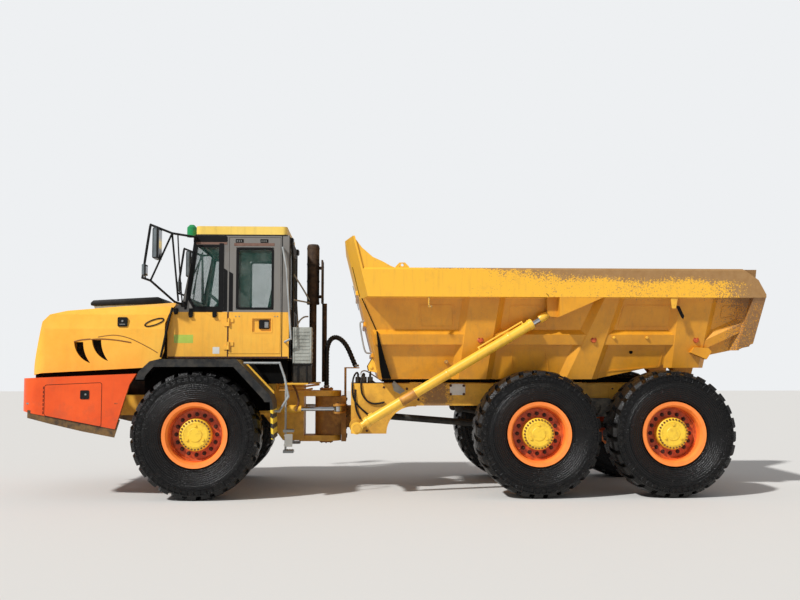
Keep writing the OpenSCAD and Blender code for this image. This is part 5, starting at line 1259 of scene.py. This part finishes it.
for x, z in binPieces["markers"]:
    y = -wallOut(z) - 0.08
    n = Vector((0, -0.96, 0.278))  # straight out of the wall
    roundBar(bm, Vector((x, y, z)) - n * 0.01, Vector((x, y, z)) + n * 0.012,
             binPieces["markerRadius"], 24, chamfer=0.006)
    for k in range(4):
        a = math.radians(45 + 90 * k)
        hexBolt(bm, Vector((x + 0.028 * math.cos(a), y, z + 0.028 * math.sin(a))) + n * 0.012,
                n, 0.006)
finishPiece("wall_markers", bm, "markerRed", "bin", pair=True)
bm = bmesh.new()
for x, z in binPieces["knobs"]:
    y = -wallOut(z) - 0.062
    roundBar(bm, (x, y, z), (x, y - 0.034, z), 0.019, 14, chamfer=0.006)
roundBar(bm, (3.08, -1.0, 1.668), (3.08, -0.9, 1.668), 0.022, 10)
finishPiece("wall_knobs", bm, "frameYellow", "bin", pair=True)
# a drain hole closed in the flat black of painted shade, and dark seam lines on the rail
x, z = binPieces["drain"]
y = -wallOut(z)
bm = bmesh.new()
roundBar(bm, (x, y + 0.01, z), (x, y - 0.003, z - 0.001), 0.024, 18)
cutPlate(bm, [(1.975, 2.46), (1.983, 2.46), (1.893, 2.828), (1.885, 2.828)], -1.3495, -1.3515)
cutPlate(bm, [(4.291, 2.511), (4.3, 2.511), (4.335, 2.4665), (4.326, 2.4665)], -1.3495, -1.3515)
finishPiece("wall_hole_seams", bm, "shadowBlack", "bin", pair=True)
# flat black wedge down the front corner, under the rails: painted shade of the recess behind the
# front flange
bm = bmesh.new()
cutPlate(bm, [(2.19, 2.05), (2.205, 2.05), (2.302, 1.7), (2.385, 1.45), (2.27, 1.45),
              (2.24, 1.6)], 0.002, -0.086)
cutPlate(bm, [(2.0, 2.462), (2.014, 2.462), (2.2, 2.05), (2.19, 2.05)], 0.002, -0.012)
finishPiece("front_corner_painted_shade", bm, "shadowBlack", "bin", onWall, True)
# hooks below the rail, and dark plates beside the rear hooks: painted shadows that the hooks cast
bm = bmesh.new()
weldedBlock(bm, (2.825, -1.345, 2.345), (2.845, -1.305, 2.475), 0.004)
weldedBlock(bm, (2.825, -1.345, 2.335), (2.875, -1.32, 2.36), 0.004)
cutPlate(bm, [(5.86, 2.475), (5.955, 2.475), (5.925, 2.33), (5.875, 2.33)], -1.325, -1.337,
         0.012)
roundBar(bm, (5.9, -1.34, 2.38), (5.9, -1.325, 2.38), 0.012, 10)
finishPiece("rail_hooks", bm, "frameYellow", "bin", pair=True)
bm = bmesh.new()
cutPlate(bm, [(5.955, 2.37), (6.0, 2.37), (6.06, 2.24), (6.045, 2.2), (6.02, 2.23)],
         -1.238, -1.246)
finishPiece("rail_hook_painted_shadows", bm, "sealRubberAndShade", "bin", pair=True)
# weld beads along the rails and the foot of the wall
bentTubes("rail_welds", [
    [(2.1 + k * 0.24, -1.3485, 2.4705) for k in range(21)],
    [(2.3 + k * 0.3, -wallOut(1.456) - 0.005, 1.456) for k in range(9)]],
    0.0045, "binYellow", "bin", pair=True)
# headboard: brackets and loop ahead of the plate
bm = bmesh.new()
for y in (-0.594, 0.594):
    cutPlate(bm, [(2.093, 1.617), (2.162, 1.735), (2.2, 1.735), (2.255, 1.52),
                  (2.106, 1.552)], y - 0.006, y + 0.006)
    roundBar(bm, (2.135, y - 0.02, 1.6), (2.135, y + 0.02, 1.6), 0.022, 14, chamfer=0.003)
finishPiece("headboard_brackets", bm, "barrelYellow", "bin")
bentTubes("headboard_loop", [[
    (2.05, -0.35, 2.21), (2.0, -0.35, 2.21), (1.985, -0.35, 2.17), (2.03, -0.35, 1.9),
    (2.06, -0.35, 1.8), (2.09, -0.35, 1.785), (2.17, -0.35, 1.785)]],
    0.012, "tubeGrey", "bin")
# stiffeners across the headboard's face
headboardLook = {"topX": 1.775, "topZ": 3.28, "lean": 0.2493, "halfWidth": 0.79}
bm = bmesh.new()
for z in (1.75, 2.15, 2.55):
    x = headboardLook["topX"] + (headboardLook["topZ"] - z) * headboardLook["lean"]
    half = min(headboardLook["halfWidth"], wallOut(z) - 0.03)
    weldedBlock(bm, (x - 0.026, -half, z - 0.03), (x + 0.02, half, z + 0.03), 0.01)
finishPiece("headboard_stiffeners", bm, "binYellow", "bin")
print("bin done")


# Hoist cylinders: drawn along X from the lower pin, then turned into place
hoistLook = {
    "low": (1.948, 1.15, 0.846), "top": (4.385, 1.15, 2.285), "rodShown": 0.27,
    "bands": [(0.14, 0.17, 0.067), (0.62, 0.635, 0.0635), (0.845, 0.86, 0.0635),
              (1.3, 1.33, 0.0645), (2.2, 2.23, 0.0645)],
    "glandBolts": 6,
}
low, top = Vector(hoistLook["low"]), Vector(hoistLook["top"])
hoistLen = (top - low).length
hoistPlace = Matrix.Translation(low) @ Matrix.Rotation(
    -math.atan2(top.z - low.z, top.x - low.x), 4, "Y")
barrelLen = hoistLen - hoistLook["rodShown"]
bm = bmesh.new()
for x0, x1, r in hoistLook["bands"]:
    roundBar(bm, (x0, 0, 0), (x1, 0, 0), r, 32, chamfer=0.002)
for x in (barrelLen - 0.045, barrelLen - 0.015):
    roundBar(bm, (x - 0.006, 0, 0), (x + 0.006, 0, 0), 0.071, 32, chamfer=0.002)
weldedBlock(bm, (0.2, -0.02, 0.055), (0.26, 0.02, 0.075), 0.004)
finishPiece("barrel_bands", bm, "barrelYellow", "hoist_barrels",
            hoistPlace, True)
bm = bmesh.new()
roundBar(bm, (0.636, 0, 0), (0.844, 0, 0), 0.0612, 32)
finishPiece("barrel_wrap", bm, "hitchYellow", "hoist_barrels",
            hoistPlace, True)
bm = bmesh.new()
roundBar(bm, (barrelLen - 0.002, 0, 0), (barrelLen + 0.006, 0, 0), 0.052, 28, chamfer=0.002)
boltRing(bm, (barrelLen, 0, 0), (1, 0, 0), (0, 1, 0), 0.058, hoistLook["glandBolts"], 0.006)
finishPiece("gland_rings", bm, "zincSteel", "hoist_barrels", hoistPlace, True)
bm = bmesh.new()
roundBar(bm, (hoistLen - 0.171, 0, 0), (hoistLen - 0.084, 0, 0), 0.0512, 28, chamfer=0.004)
roundBar(bm, (hoistLen - 0.09, 0, 0), (hoistLen - 0.04, 0, 0), 0.05, 20, tip=0.04)
for y in (-0.0405, 0.0355):
    roundBar(bm, (hoistLen, y, 0), (hoistLen, y + 0.005, 0), 0.0565, 28, chamfer=0.001)
finishPiece("rod_end_collars", bm, "barrelYellow", "hoist_rods",
            hoistPlace, True)
print("hoist done")


# Steps: treads and a blank plate on the left side
stepLook = {"heights": (0.55, 0.81), "treads": 4, "treadApart": 0.03}
bm = bmesh.new()
for z in stepLook["heights"]:
    for k in range(stepLook["treads"]):
        x = 1.03 + k * stepLook["treadApart"]
        weldedBlock(bm, (x, -0.875, z - 0.001), (x + 0.012, -0.675, z + 0.007), 0.002)
finishPiece("step_treads", bm, "zincSteel", "front_unit", pair=True)
bm = bmesh.new()
cutPlate(bm, oblong(1.045, 0.6, 1.14, 0.76), -0.884, -0.888, 0.008)
for z in (0.62, 0.74):
    weldedBlock(bm, (1.032, -0.886, z - 0.01), (1.06, -0.879, z + 0.01), 0.002)
finishPiece("step_plate_blank", bm, "plateWhite", "front_unit")
print("steps done")


# Stage: pale floor that keeps the shadow, pale sky, one soft sun
stageLook = {
    "skyLight": 0.4, "sunLight": 3.5, "sunSize": 3, "sunFrom": (-0.56, -0.5, 0.66),
    "skyColour": "fbfbff", "floorColour": "d9d7d2", "floorGloss": 0.85, "floorSize": 60,
    "backColour": "eef0f2",
}
world = bpy.data.worlds.new("pale_studio")
scene.world = world
world.use_nodes = True
tree = world.node_tree
tree.nodes.clear()
rays = addNode(tree, "LightPath")
seen = addNode(tree, "Math", {"operation": "MAXIMUM"}, {
    0: rays.outputs["Is Camera Ray"], 1: rays.outputs["Is Transmission Ray"]})
sky = addNode(tree, "Background", {"Color": toLinear(stageLook["skyColour"]),
                                   "Strength": stageLook["skyLight"]})
backdrop = addNode(tree, "Background", {"Color": toLinear(stageLook["backColour"]),
                                        "Strength": 1.0})
mixed = addNode(tree, "MixShader", None, {0: seen, 1: sky, 2: backdrop})
addNode(tree, "OutputWorld", None, {"Surface": mixed})

bm = bmesh.new()
bmesh.ops.create_grid(bm, x_segments=1, y_segments=1, size=stageLook["floorSize"])
mesh = bpy.data.meshes.new("floor")
bm.to_mesh(mesh)
bm.free()
floor = bpy.data.objects.new("floor", mesh)
scene.collection.objects.link(floor)
mat, tree, coords = newMaterial("screed_pale")
closeMaterial(tree, {"Base Color": toLinear(stageLook["floorColour"]),
                     "Roughness": stageLook["floorGloss"]})
mesh.materials.append(mat)

sun = bpy.data.lights.new("sun", "SUN")
sun.energy = stageLook["sunLight"]
sun.angle = math.radians(stageLook["sunSize"])
lamp = bpy.data.objects.new("sun", sun)
lamp.rotation_mode = "QUATERNION"
lamp.rotation_quaternion = Vector(stageLook["sunFrom"]).to_track_quat("Z", "Y")
scene.collection.objects.link(lamp)
scene.view_settings.view_transform = "Standard"

# Camera fitted to the wheels and the horizon of the photograph
cameraLook = {
    "place": (-0.5455, -13.352, 1.565), "turn": 2.64, "lift": 4.09, "lens": 44.01, "sensor": 36,
}
cam = bpy.data.cameras.new("camera")
cam.lens = cameraLook["lens"]
cam.sensor_width = cameraLook["sensor"]
camera = bpy.data.objects.new("camera", cam)
turn, lift = math.radians(cameraLook["turn"]), math.radians(cameraLook["lift"])
sight = Vector((math.sin(turn) * math.cos(lift), math.cos(turn) * math.cos(lift),
                math.sin(lift)))
camera.rotation_mode = "QUATERNION"
camera.rotation_quaternion = sight.to_track_quat("-Z", "Y")
camera.location = cameraLook["place"]
scene.collection.objects.link(camera)
scene.camera = camera
print("stage done")
